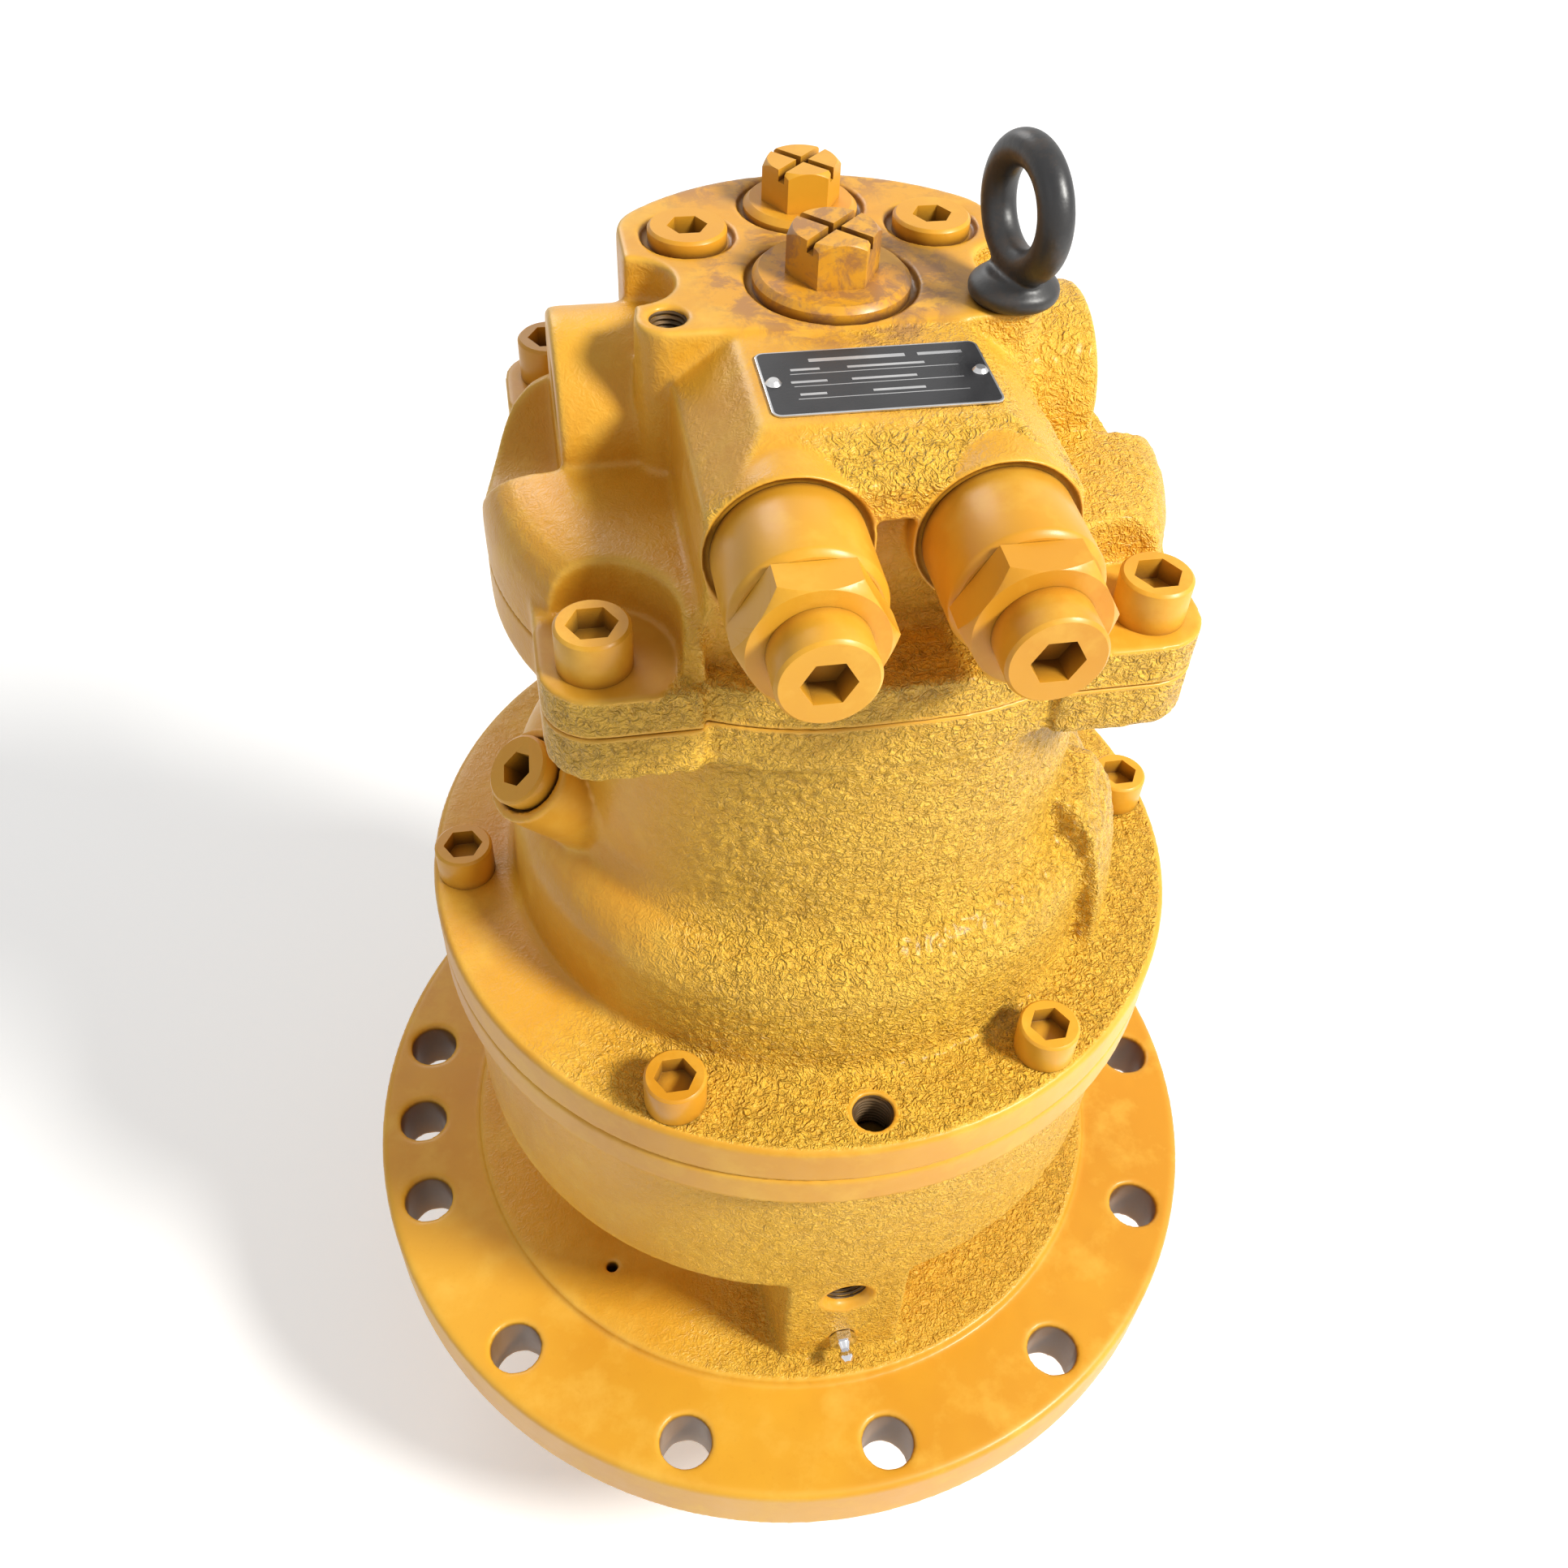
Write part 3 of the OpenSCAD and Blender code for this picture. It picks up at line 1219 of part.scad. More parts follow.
// Second sun gear, its neck held in the first carrier
module sun_gear_2() {
  color(steel) translate([0, 0, planet_2_z]) union() {
    linear_extrude(planet_2_w) rotate(180 / sun_2_teeth) gear_outline(sun_2_teeth, gear_m);
    translate([0, 0, planet_2_w - over]) cylinder(d = sun_2_neck_d, h = stage_gap + carrier_t + over);
  }
}

// Planet gear of the second stage, number k of three
module planet_2(k) {
  color(steel) rotate(k * 360 / planets) translate([centre_2, 0, planet_2_z]) difference() {
    linear_extrude(planet_2_w) gear_outline(planet_2_teeth, gear_m);
    translate([0, 0, -over]) cylinder(d = pin_2_d + 2 * run_gap, h = planet_2_w + 2 * over);
  }
}

// Pins of the second stage's planets
module planet_pins_2() {
  color(dark_steel) for (k = [0:planets - 1]) rotate(k * 360 / planets)
    translate([centre_2, 0, carrier_2_z])
      cylinder(d = pin_2_d, h = planet_2_top + pin_over - carrier_2_z);
}

// Carrier plate of the second stage, on the output shaft
module carrier_2() {
  hub_l = carrier_2_z - carrier_hub_z;
  color(dark_steel) translate([0, 0, carrier_2_z]) difference() {
    union() {
      cylinder(r = carrier_2_r, h = carrier_t);
      translate([0, 0, -hub_l]) cylinder(d = carrier_hub_d, h = hub_l + over);
      for (k = [0:planets - 1]) rotate(k * 360 / planets) translate([centre_2, 0, 0])
        cylinder(d = pin_2_d + 4 * edge, h = carrier_t + planet_gap - free_gap);
    }
    translate([0, 0, -hub_l - over])
      cylinder(d = carrier_seat_d + 2 * seat_gap, h = hub_l + carrier_t + 2 * over);
    for (k = [0:planets - 1]) rotate(k * 360 / planets) translate([centre_2, 0, -over])
      cylinder(d = pin_2_d + 2 * run_gap, h = carrier_t + planet_gap + 2 * over);
  }
}

// Internal gear for both stages, held between case and casing
module ring_gear() {
  rp = gear_m * ring_teeth / 2;
  color(steel) translate([0, 0, ring_seat_z + seat_gap]) linear_extrude(ring_top - ring_seat_z - seat_gap)
    difference() {
      circle(r = case_bore_d / 2 - seat_gap);
      polygon(gear_points(
        ring_teeth, gear_m, rp - addendum_share * gear_m, rp + dedendum_share * gear_m, -tooth_play
      ));
    }
}

// Output shaft with its pinion
module output_shaft() {
  low_r = journal_low_d / 2;
  up_r = journal_up_d / 2;
  step_z = carrier_hub_z - seat_gap;
  color(steel) {
    translate([0, 0, pinion_top - pinion_w])
      linear_extrude(pinion_w) gear_outline(pinion_teeth, pinion_m);
    rotate_extrude() polygon([
      [0, pinion_top - pinion_w / 2], [low_r, pinion_top - pinion_w / 2], [low_r, bearing_low_top + edge],
      [up_r + edge, bearing_low_top + edge], [up_r + edge, bearing_up_z - edge], [up_r, bearing_up_z - edge],
      [up_r, step_z], [carrier_seat_d / 2, step_z],
      [carrier_seat_d / 2, carrier_2_top - edge], [carrier_seat_d / 2 - edge, carrier_2_top],
      [0, carrier_2_top]
    ]);
  }
}

// Upper bearing of the output shaft
module output_bearing_upper() {
  color(steel) translate([0, 0, bearing_up_z])
    roller_bearing(bearing_up_d / 2 - seat_gap, journal_up_d / 2 + run_gap, bearing_up_w);
}

// Lower bearing of the output shaft
module output_bearing_lower() {
  color(steel) translate([0, 0, bearing_low_z])
    roller_bearing(bearing_low_d / 2 - seat_gap, journal_low_d / 2 + run_gap, bearing_low_w);
}

// Lip seal under the lower bearing
module output_seal() {
  color(rubber_black) translate([0, 0, bearing_low_z - seal_drop - output_seal_w])
    tube(bearing_low_d / 2 - seat_gap, journal_low_d / 2 + run_gap, output_seal_w);
}

lower_case();
motor_casing();
port_cover();
case_bolts();
cover_bolts();
relief_body(-1);  // relief_body_left
relief_body(1);  // relief_body_right
relief_nut(-1);  // relief_nut_left
relief_nut(1);  // relief_nut_right
relief_cap(-1);  // relief_cap_left
relief_cap(1);  // relief_cap_right
relief_poppet(-1);  // relief_poppet_left
relief_poppet(1);  // relief_poppet_right
relief_spring(-1);  // relief_spring_left
relief_spring(1);  // relief_spring_right
makeup_plug(0);  // makeup_plug_front
makeup_plug(1);  // makeup_plug_back
makeup_poppet(0);  // makeup_poppet_front
makeup_poppet(1);  // makeup_poppet_back
makeup_spring(0);  // makeup_spring_front
makeup_spring(1);  // makeup_spring_back
gauge_plugs();
nameplate();
nameplate_rivets();
eye_bolt();
drain_plug();
grease_fitting();
case_seal_ring();
cover_seal_ring();
drive_shaft();
shaft_bearing_lower();
shaft_bearing_upper();
shaft_seal();
cylinder_block();
pistons();
retainer_plate();
valve_plate();
swash_plate();
friction_discs();
separator_plates();
brake_piston();
brake_springs();
sun_gear_1();
planet_1(0);  // planet_1a
planet_1(1);  // planet_1b
planet_1(2);  // planet_1c
planet_pins_1();
carrier_1();
sun_gear_2();
planet_2(0);  // planet_2a
planet_2(1);  // planet_2b
planet_2(2);  // planet_2c
planet_pins_2();
carrier_2();
ring_gear();
output_shaft();
output_bearing_upper();
output_bearing_lower();
output_seal();
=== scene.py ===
"""Looks of a hydraulic swing motor around its CAD model: castings, threads, plate, materials and light."""

import json
import math

import bmesh
import bpy
import numpy as np
from mathutils import Matrix, Vector


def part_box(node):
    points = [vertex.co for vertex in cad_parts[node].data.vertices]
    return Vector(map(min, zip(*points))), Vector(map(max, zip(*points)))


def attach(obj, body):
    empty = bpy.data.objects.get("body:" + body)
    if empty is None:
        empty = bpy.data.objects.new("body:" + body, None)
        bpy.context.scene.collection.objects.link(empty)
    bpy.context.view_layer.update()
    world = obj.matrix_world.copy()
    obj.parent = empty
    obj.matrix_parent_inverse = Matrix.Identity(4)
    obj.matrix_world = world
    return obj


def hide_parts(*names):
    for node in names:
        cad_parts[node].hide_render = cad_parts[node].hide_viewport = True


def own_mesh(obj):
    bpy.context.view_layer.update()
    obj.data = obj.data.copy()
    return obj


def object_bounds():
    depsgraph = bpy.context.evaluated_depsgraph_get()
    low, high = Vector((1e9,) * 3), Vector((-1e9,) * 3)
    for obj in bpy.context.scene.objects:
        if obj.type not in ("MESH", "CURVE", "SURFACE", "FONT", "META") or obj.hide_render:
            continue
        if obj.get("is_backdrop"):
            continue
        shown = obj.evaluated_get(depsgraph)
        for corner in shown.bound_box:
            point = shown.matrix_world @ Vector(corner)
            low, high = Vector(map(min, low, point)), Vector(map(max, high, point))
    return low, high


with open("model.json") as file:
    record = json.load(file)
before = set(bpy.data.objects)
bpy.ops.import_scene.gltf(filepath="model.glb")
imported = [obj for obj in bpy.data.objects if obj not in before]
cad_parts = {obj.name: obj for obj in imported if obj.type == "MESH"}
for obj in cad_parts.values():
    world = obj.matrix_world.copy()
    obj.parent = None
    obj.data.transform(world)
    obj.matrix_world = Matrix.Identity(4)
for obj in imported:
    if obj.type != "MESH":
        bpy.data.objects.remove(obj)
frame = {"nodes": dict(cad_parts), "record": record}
cad_low, cad_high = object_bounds()
NODES = frame["nodes"]
MOUNTS = {m["name"]: m for m in frame["record"]["mounts"]}
BODY_OF = {n: b for b, ns in frame["record"]["behaviour"]["bodies"].items() for n in ns}
MM = 0.001
UP_AXIS, BACK_AXIS = (0, 0, 1), (0, 1, 0)


def middle_of(node):
    """The middle of a node's box."""
    low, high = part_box(node)
    return (low + high) / 2


def mount_at(name):
    """The place of a mount."""
    return Vector(MOUNTS[name]["pos_m"])


# Heights and places that the frame gives
JOINT_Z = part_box("lower_case")[1].z
SEAM_Z, TOP_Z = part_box("port_cover")[0].z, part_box("port_cover")[1].z
JOINT_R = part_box("motor_casing")[1].x
CASING_DISC_TOP = JOINT_Z + MOUNTS["jacking_hole"]["dims"]["length_mm"] * MM
FLANGE_T = MOUNTS["extra_flange_hole"]["dims"]["length_mm"] * MM
FLANGE_PCD = MOUNTS["flange_holes"]["dims"]["pcd_mm"] * MM
JACK_HOLE_R = -mount_at("jacking_hole").y
LEVEL_PORT_Z, GREASE_Z = mount_at("level_port").z, middle_of("grease_fitting").z
RELIEF_X, RELIEF_Z = middle_of("relief_nut_right").x, middle_of("relief_nut_right").z
PORT_Y, PORT_Z = mount_at("port_b").y, mount_at("port_b").z
FEED_Z = mount_at("makeup_port").z
TAP_X, TAP_Y = -mount_at("lifting_hole").x, mount_at("lifting_hole").y
MAKEUP_Y = (middle_of("makeup_plug_front").y, middle_of("makeup_plug_back").y)
GAUGE_Y = middle_of("gauge_plugs").y

# Sizes of the machined places on the lower case
RAISED_R, RAISED_Z = 163.5 * MM, 38.5 * MM
CASE_DISC_T, CASE_DISC_R = 18 * MM, 153 * MM
WEB_BORE_R = 104 * MM
VENT_X, VENT_Y, VENT_R, VENT_DEPTH = -102.9 * MM, -90.3 * MM, 3.5 * MM, 15 * MM
BOSS_FACE_Y = -150 * MM
LEVEL_FACE_R, GREASE_FACE_R = 13 * MM, 7 * MM
HOLE_RIM, HOLE_RIM_SOFT = 13.8 * MM, 0.6 * MM

# Sizes of the machined places on the motor casing
JOINT_SCREWS, JOINT_SCREW_R, JOINT_SEAT_R = 6, 146.5 * MM, 10.5 * MM
JACK_FACE_R = 9.5 * MM
DRAIN_TURN, DRAIN_TILT = math.radians(199.4), math.radians(40)
DRAIN_R, DRAIN_Z, DRAIN_FACE_R = 120.4 * MM, JOINT_Z + 114.4 * MM, 19 * MM
TOP_FLANGE_T = 20 * MM

# Sizes of the machined places on the port cover
PLATE_TOP = SEAM_Z + 16 * MM
SCREW_X, SCREW_Y, SCREW_SEAT_R, SCREW_HOLE_R = 90 * MM, 84 * MM, 25 * MM, 9 * MM
BLOCK_Y, RELIEF_BORE_R, RELIEF_BORE_L = -90 * MM, 26 * MM, 150 * MM
PORT_X, PORT_FACE_R = 92.4 * MM, 29.5 * MM
FEED_Y, FEED_FACE_R = 106 * MM, 19 * MM
GAUGE_X, GAUGE_RECESS_R = 42.5 * MM, 17 * MM
TAP_FACE_R, EYE_COLLAR_R = 7.5 * MM, 20 * MM
MAKEUP_RECESS_R = (30 * MM, 23.5 * MM)


# Node helpers
class Nodes:
    """A node tree under construction."""

    def __init__(self, tree):
        self.tree = tree

    def add(self, kind, links=None, **values):
        node = self.tree.nodes.new("ShaderNode" + kind)
        for key, value in values.items():
            if hasattr(node, key):
                setattr(node, key, value)
            else:
                node.inputs[key.replace("_", " ")].default_value = value
        for key, source in (links or {}).items():
            self.tree.links.new(source, node.inputs[key])
        return node

    def math(self, operation, first, second=None):
        node = self.add("Math", operation=operation)
        for socket, value in ((node.inputs[0], first), (node.inputs[1], second)):
            if value is None:
                continue
            if isinstance(value, (int, float)):
                socket.default_value = value
            else:
                self.tree.links.new(value, socket)
        return node.outputs[0]

    def seen_directly(self):
        """1 for rays from the camera, a mirror or glass, 0 for the light that falls on the object."""
        ray = self.add("LightPath").outputs
        bent = self.math("MAXIMUM", ray["Is Glossy Ray"], ray["Is Transmission Ray"])
        return self.math("MAXIMUM", ray["Is Camera Ray"], bent)


class Shader(Nodes):
    """A node material under construction."""

    def __init__(self, name):
        self.material = bpy.data.materials.new(name)
        self.material.use_nodes = True
        super().__init__(self.material.node_tree)
        self.bsdf = self.tree.nodes["Principled BSDF"]

    def place(self):
        return self.add("TexCoord").outputs["Object"]

    def noise(self, scale, detail=3.0, rough=0.55, distortion=0.0):
        node = self.add("TexNoise")
        node.inputs["Scale"].default_value = scale
        node.inputs["Detail"].default_value = detail
        node.inputs["Roughness"].default_value = rough
        node.inputs["Distortion"].default_value = distortion
        self.tree.links.new(self.place(), node.inputs["Vector"])
        return node.outputs["Fac"]

    def ramp(self, source, *stops):
        """A colour that changes with a value; each stop is a value and a colour."""
        node = self.add("ValToRGB")
        self.tree.links.new(source, node.inputs["Fac"])
        points = node.color_ramp.elements
        while len(points) < len(stops):
            points.new(0.5)
        for point, (where, colour) in zip(points, stops):
            point.position = where
            point.color = (*colour, 1)
        return node.outputs["Color"]

    def grey(self, source, *stops):
        """A ramp between plain numbers."""
        return self.ramp(source, *[(where, (value,) * 3) for where, value in stops])

    def mix(self, factor, first, second):
        node = self.add("Mix", data_type="RGBA")
        for socket, value in ((node.inputs[0], factor), (node.inputs[6], first), (node.inputs[7], second)):
            if isinstance(value, (int, float)):
                socket.default_value = value
            elif isinstance(value, tuple):
                socket.default_value = (*value, 1)
            else:
                self.tree.links.new(value, socket)
        return node.outputs[2]

    def attribute(self, name):
        return self.add("Attribute", attribute_name=name).outputs["Fac"]

    def bump(self, height, distance, strength=None, normal=None):
        node = self.add("Bump")
        node.inputs["Distance"].default_value = distance
        node.inputs["Strength"].default_value = 1.0
        for socket, source in (("Height", height), ("Strength", strength), ("Normal", normal)):
            if source is not None:
                self.tree.links.new(source, node.inputs[socket])
        return node.outputs["Normal"]

    def wire(self, socket, source):
        self.tree.links.new(source, self.bsdf.inputs[socket])


# Linear colours
YELLOW = (0.78, 0.4, 0.03)
AMBER = (0.66, 0.29, 0.017)
PALE = (0.88, 0.55, 0.085)
# Painted shade in the hollows of the cast skin
VALLEY_SHADE_BROWN = (0.4, 0.16, 0.012)
# Brown of rubbed paint that also stands for painted shade
SCUFF_AND_SHADE = (0.3, 0.135, 0.06)
# Painted highlight: a sunlit yellow laid over the rough cast skin
PAINTED_HIGHLIGHT_YELLOW = (0.98, 0.6, 0.062)
BORE_WALL_SHADE = (0.13, 0.05, 0.009)
# Rust and grime colours that ambient occlusion lays into crevices and recesses: painted shade with dirt
RUST_AND_SHADE = (0.19, 0.065, 0.01)
GRIME_AND_SHADE = (0.045, 0.02, 0.007)

# Reach of the ambient occlusion that paints shade, with rust and grime, into crevices, and heights of the
# bumps
AO_SAMPLES = 6
CREVICE_SHADE_REACH, DEEP_SHADE_REACH = 7 * MM, 16 * MM
PEEL_BUMP, SKIN_BUMP, TOOL_BUMP, FORGED_BUMP = 0.04 * MM, 2.6 * MM, 0.03 * MM, 0.12 * MM


def enamel(name, cast=False, worn_and_shaded=0.0):
    """Yellow enamel; over a casting the wrinkled skin of the mould shows through, with painted shade in its
    hollows and painted highlights on its rough sides and rounded edges.
    """
    s = Shader(name)
    broad = s.noise(scale=7, detail=4, rough=0.6)
    cloud = s.noise(scale=38, detail=5, rough=0.62)
    fine = s.noise(scale=420, detail=3, rough=0.6)
    patches = s.noise(scale=90, detail=6, rough=0.7, distortion=0.4)
    colour = s.mix(s.grey(broad, (0.36, 0.0), (0.66, 1.0)), YELLOW, AMBER)
    colour = s.mix(s.grey(cloud, (0.5, 0.0), (0.74, 0.5)), colour, PALE)
    colour = s.mix(s.grey(fine, (0.6, 0.0), (0.78, 0.3)), colour, AMBER)
    if cast:
        # Over the rough skin a painted highlight yellow, in its hollows painted shade, and on rounded edges a
        # painted highlight with some worn paint
        for attribute, share, over in (("cast", 0.65, PAINTED_HIGHLIGHT_YELLOW), ("valley_shade", 0.3, VALLEY_SHADE_BROWN), ("edge", 0.4, PALE)):
            colour = s.mix(s.math("MULTIPLY", s.attribute(attribute), share), colour, over)
        # Browner patches on the cover's top: rubbed paint, and painted shade round the front plug
        rubbed_and_shaded = s.math("MULTIPLY", s.grey(patches, (0.44, 0.0), (0.56, 0.7)), s.attribute("wear_and_shade"))
        colour = s.mix(rubbed_and_shaded, colour, SCUFF_AND_SHADE)
        # Flange hole walls darkened: painted shade, with dirt
        colour = s.mix(s.math("MULTIPLY", s.attribute("bore"), 0.85), colour, BORE_WALL_SHADE)
    # Browner patches: worn paint and painted shade
    if worn_and_shaded:
        colour = s.mix(s.grey(patches, (0.46, 0.0), (0.58, worn_and_shaded)), colour, SCUFF_AND_SHADE)
    # Ambient occlusion darkens crevices, sockets and recesses: painted shade, with rust and grime
    crevice_shade = s.add("AmbientOcclusion", samples=AO_SAMPLES, Distance=CREVICE_SHADE_REACH).outputs["AO"]
    colour = s.mix(s.grey(crevice_shade, (0.15, 0.8), (0.62, 0.0)), colour, RUST_AND_SHADE)
    deep_shade = s.add("AmbientOcclusion", samples=AO_SAMPLES, Distance=DEEP_SHADE_REACH).outputs["AO"]
    colour = s.mix(s.grey(deep_shade, (0.1, 0.94), (0.44, 0.0)), colour, GRIME_AND_SHADE)
    s.wire("Base Color", colour)
    s.wire("Roughness", s.grey(cloud, (0.3, 0.34), (0.7, 0.47)))
    s.bsdf.inputs["Specular IOR Level"].default_value = 0.35
    s.bsdf.inputs["Coat Weight"].default_value = 0.1
    s.bsdf.inputs["Coat Roughness"].default_value = 0.2
    surface = s.bump(s.noise(scale=300, detail=2, rough=0.5), PEEL_BUMP)
    if cast:
        folds = s.noise(scale=300, detail=2, rough=0.5, distortion=1.2)
        crease = s.math("ABSOLUTE", s.math("SUBTRACT", folds, 0.5))
        sand = s.noise(scale=520, detail=2, rough=0.6, distortion=0.8)
        height = s.math("ADD", s.math("MULTIPLY", crease, 2.4), s.math("MULTIPLY", sand, 0.6))
        surface = s.bump(height, SKIN_BUMP, s.attribute("cast"), surface)
    s.wire("Normal", surface)
    return s.material


def metal(name, dark, light, roughness, scale=160.0, metallic=1.0, film=None, bump=TOOL_BUMP):
    """Machined or plated metal with fine tool marks, stains and, if given, a film in patches."""
    s = Shader(name)
    stain = s.noise(scale * 0.25, detail=5, rough=0.6)
    fine = s.noise(scale * 4, detail=2, rough=0.6)
    colour = s.mix(s.grey(stain, (0.35, 0.0), (0.7, 1.0)), dark, light)
    if film:
        patches = s.noise(scale * 0.6, detail=6, rough=0.7)
        colour = s.mix(s.grey(patches, (0.55, 0.0), (0.72, 0.8)), colour, film)
    s.wire("Base Color", colour)
    s.wire("Roughness", s.grey(stain, (0.3, roughness * 0.8), (0.75, min(1.0, roughness * 1.35))))
    s.bsdf.inputs["Metallic"].default_value = metallic
    s.wire("Normal", s.bump(fine, bump))
    return s.material


def rubber(name):
    """Black sealing rubber with a dusty bloom."""
    s = Shader(name)
    bloom = s.grey(s.noise(scale=120, detail=4), (0.4, 0.0), (0.7, 1.0))
    s.wire("Base Color", s.mix(bloom, (0.012, 0.012, 0.012), (0.03, 0.029, 0.028)))
    s.bsdf.inputs["Roughness"].default_value = 0.62
    s.wire("Normal", s.bump(s.noise(scale=900, detail=2), TOOL_BUMP))
    return s.material


CASTING_PAINT = enamel("enamel_casting", cast=True)
PAINT = enamel("enamel_fittings")
# Enamel for the front plug: worn paint with painted shade
WORN_AND_SHADED_PAINT = enamel("enamel_worn_and_shaded", worn_and_shaded=0.75)
STEEL = metal("steel_ground", (0.42, 0.42, 0.44), (0.6, 0.6, 0.61), 0.28)
OILED = metal("steel_oiled", (0.1, 0.1, 0.105), (0.2, 0.195, 0.19), 0.36)
BRONZE = metal("bronze", (0.42, 0.24, 0.08), (0.58, 0.36, 0.13), 0.3)
CHROME = metal("chrome", (0.6, 0.6, 0.63), (0.78, 0.78, 0.8), 0.12, film=(0.14, 0.09, 0.06))
THREAD = metal("thread_painted_over", (0.045, 0.028, 0.014), (0.15, 0.085, 0.03), 0.5, metallic=0.5,
               film=(0.2, 0.09, 0.016))
BLACK = metal("black_forging", (0.012, 0.012, 0.014), (0.035, 0.034, 0.033), 0.4, scale=70, metallic=0.0,
              film=(0.07, 0.045, 0.03), bump=FORGED_BUMP)
PRINT = metal("plate_print", (0.012, 0.012, 0.014), (0.022, 0.022, 0.025), 0.3, scale=200, metallic=0.0)
SILVER = metal("plate_silver", (0.5, 0.5, 0.51), (0.68, 0.68, 0.68), 0.3)
RUBBER = rubber("rubber_seal")


# Mesh helpers
def smoothstep(x, low, high):
    """0 below the first limit, 1 above the second, and a smooth rise between them."""
    t = np.clip((x - low) / (high - low), 0, 1)
    return t * t * (3 - 2 * t)


def above(values, limit, soft):
    """1 well above a limit, 0 below it."""
    return smoothstep(values, limit, limit + soft)


def below(values, limit, soft):
    """1 below a limit, 0 well above it."""
    return 1 - smoothstep(values, limit, limit + soft)


def new_object(name, mesh, material, body):
    """A piece of one material that rides on a body."""
    obj = bpy.data.objects.new(name, mesh)
    bpy.context.scene.collection.objects.link(obj)
    mesh.materials.clear()
    mesh.materials.append(material)
    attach(obj, body)
    return obj


def closed_mesh(name, verts, faces):
    """A smooth mesh whose faces all look outwards."""
    mesh = bpy.data.meshes.new(name)
    mesh.from_pydata([tuple(v) for v in verts], [], faces)
    bm = bmesh.new()
    bm.from_mesh(mesh)
    bmesh.ops.recalc_face_normals(bm, faces=bm.faces)
    bm.to_mesh(mesh)
    bm.free()
    mesh.polygons.foreach_set("use_smooth", np.ones(len(mesh.polygons), bool))
    return mesh


def apply_modifiers(obj):
    graph = bpy.context.evaluated_depsgraph_get()
    obj.data = bpy.data.meshes.new_from_object(obj.evaluated_get(graph))
    obj.modifiers.clear()


def points_of(mesh):
    """The vertices of a mesh as rows of three numbers."""
    co = np.empty(len(mesh.vertices) * 3, np.float64)
    mesh.vertices.foreach_get("co", co)
    return co.reshape(-1, 3)


def relax(mesh, weight, rounds):
    """Moves each vertex towards its neighbours' mean, by its weight, so that sharp edges grow fillets."""
    co = points_of(mesh)
    edges = np.empty(len(mesh.edges) * 2, np.int32)
    mesh.edges.foreach_get("vertices", edges)
    a, b = edges.reshape(-1, 2).T
    ends, others = np.concatenate([a, b]), np.concatenate([b, a])
    count = np.maximum(np.bincount(ends, minlength=len(co)), 1)
    for _ in range(rounds):
        mean = np.stack([np.bincount(ends, co[others, k], len(co)) / count for k in range(3)], 1)
        co += (mean - co) * (0.5 * weight)[:, None]
    mesh.vertices.foreach_set("co", co.astype(np.float32).ravel())
    mesh.update()


# Width over which a mask fades, round large and small places
SOFT, CRISP = 1.5 * MM, 0.8 * MM


def near_axis(co, centre, axis, radius, depth, lip, soft=SOFT):
    """1 inside a cylinder round an axis, from a depth behind its centre to a lip before it, 0 outside."""
    rel = co - np.array(centre)
    along = rel @ np.array(axis)
    radial = np.linalg.norm(rel - along[:, None] * np.array(axis), axis=1)
    return below(radial, radius, soft) * above(along, -depth - soft, soft) * below(along, lip, soft)


HASH = (73856093, 19349663, 83492791)
HASH_MIX = 1274126177
HASH_MASK = 0xFFFF


def lattice_noise(co, grain, shift):
    """Smooth random values from 0 to 1 that change over one grain, the same on every run."""
    place = co / grain + shift
    cell = np.floor(place).astype(np.int64)
    part = place - cell
    part = part * part * (3 - 2 * part)
    total = np.zeros(len(co))
    for corner in range(8):
        step = np.array([corner & 1, corner >> 1 & 1, corner >> 2 & 1])
        x, y, z = (cell + step).T
        mixed = (x * HASH[0]) ^ (y * HASH[1]) ^ (z * HASH[2])
        mixed = (mixed ^ (mixed >> 13)) * HASH_MIX
        value = ((mixed ^ (mixed >> 16)) & HASH_MASK) / HASH_MASK
        total += value * np.prod(np.where(step, part, 1 - part), axis=1)
    return total


# Grains of the mould's skin: the bends of its ridges, the ridges and the pits between them
BEND, BEND_GRAIN, RIDGE_GRAIN, PIT_GRAIN = 1.6 * MM, 5 * MM, 4.4 * MM, 2.6 * MM


def wrinkles(co):
    """Depth from 0 to 1 of the wrinkled skin that a sand mould leaves."""
    bent = co + BEND * np.stack([lattice_noise(co, BEND_GRAIN, k * 7.3) for k in range(3)], 1)
    ridges = 1 - np.abs(2 * lattice_noise(bent, RIDGE_GRAIN, 3.1) - 1)
    pits = lattice_noise(bent, PIT_GRAIN, 11.7)
    return np.clip(1.25 - ridges * 0.95 - pits * 0.5, 0, 1)


# Depth of the skin, the move of a rounded edge at which its painted highlight is full, how firmly a machined
# place is held while edges are rounded, and the share of faces kept
WRINKLE_DEPTH = 0.8 * MM
EDGE_HIGHLIGHT_MOVE = 0.45 * MM
HELD_SHARE = 0.9
FACES_KEPT = 0.6


def normals_of(mesh):
    out = np.empty(len(mesh.vertices) * 3, np.float32)
    mesh.vertex_normals.foreach_get("vector", out)
    return out.reshape(-1, 3)


def store(mesh, name, values):
    """Keeps one value from 0 to 1 per vertex for the material."""
    layer = mesh.attributes.new(name, "FLOAT", "POINT")
    layer.data.foreach_set("value", np.clip(values, 0, 1).astype(np.float32))


def nowhere(co):
    """A mask that covers nothing."""
    return np.zeros(len(co))


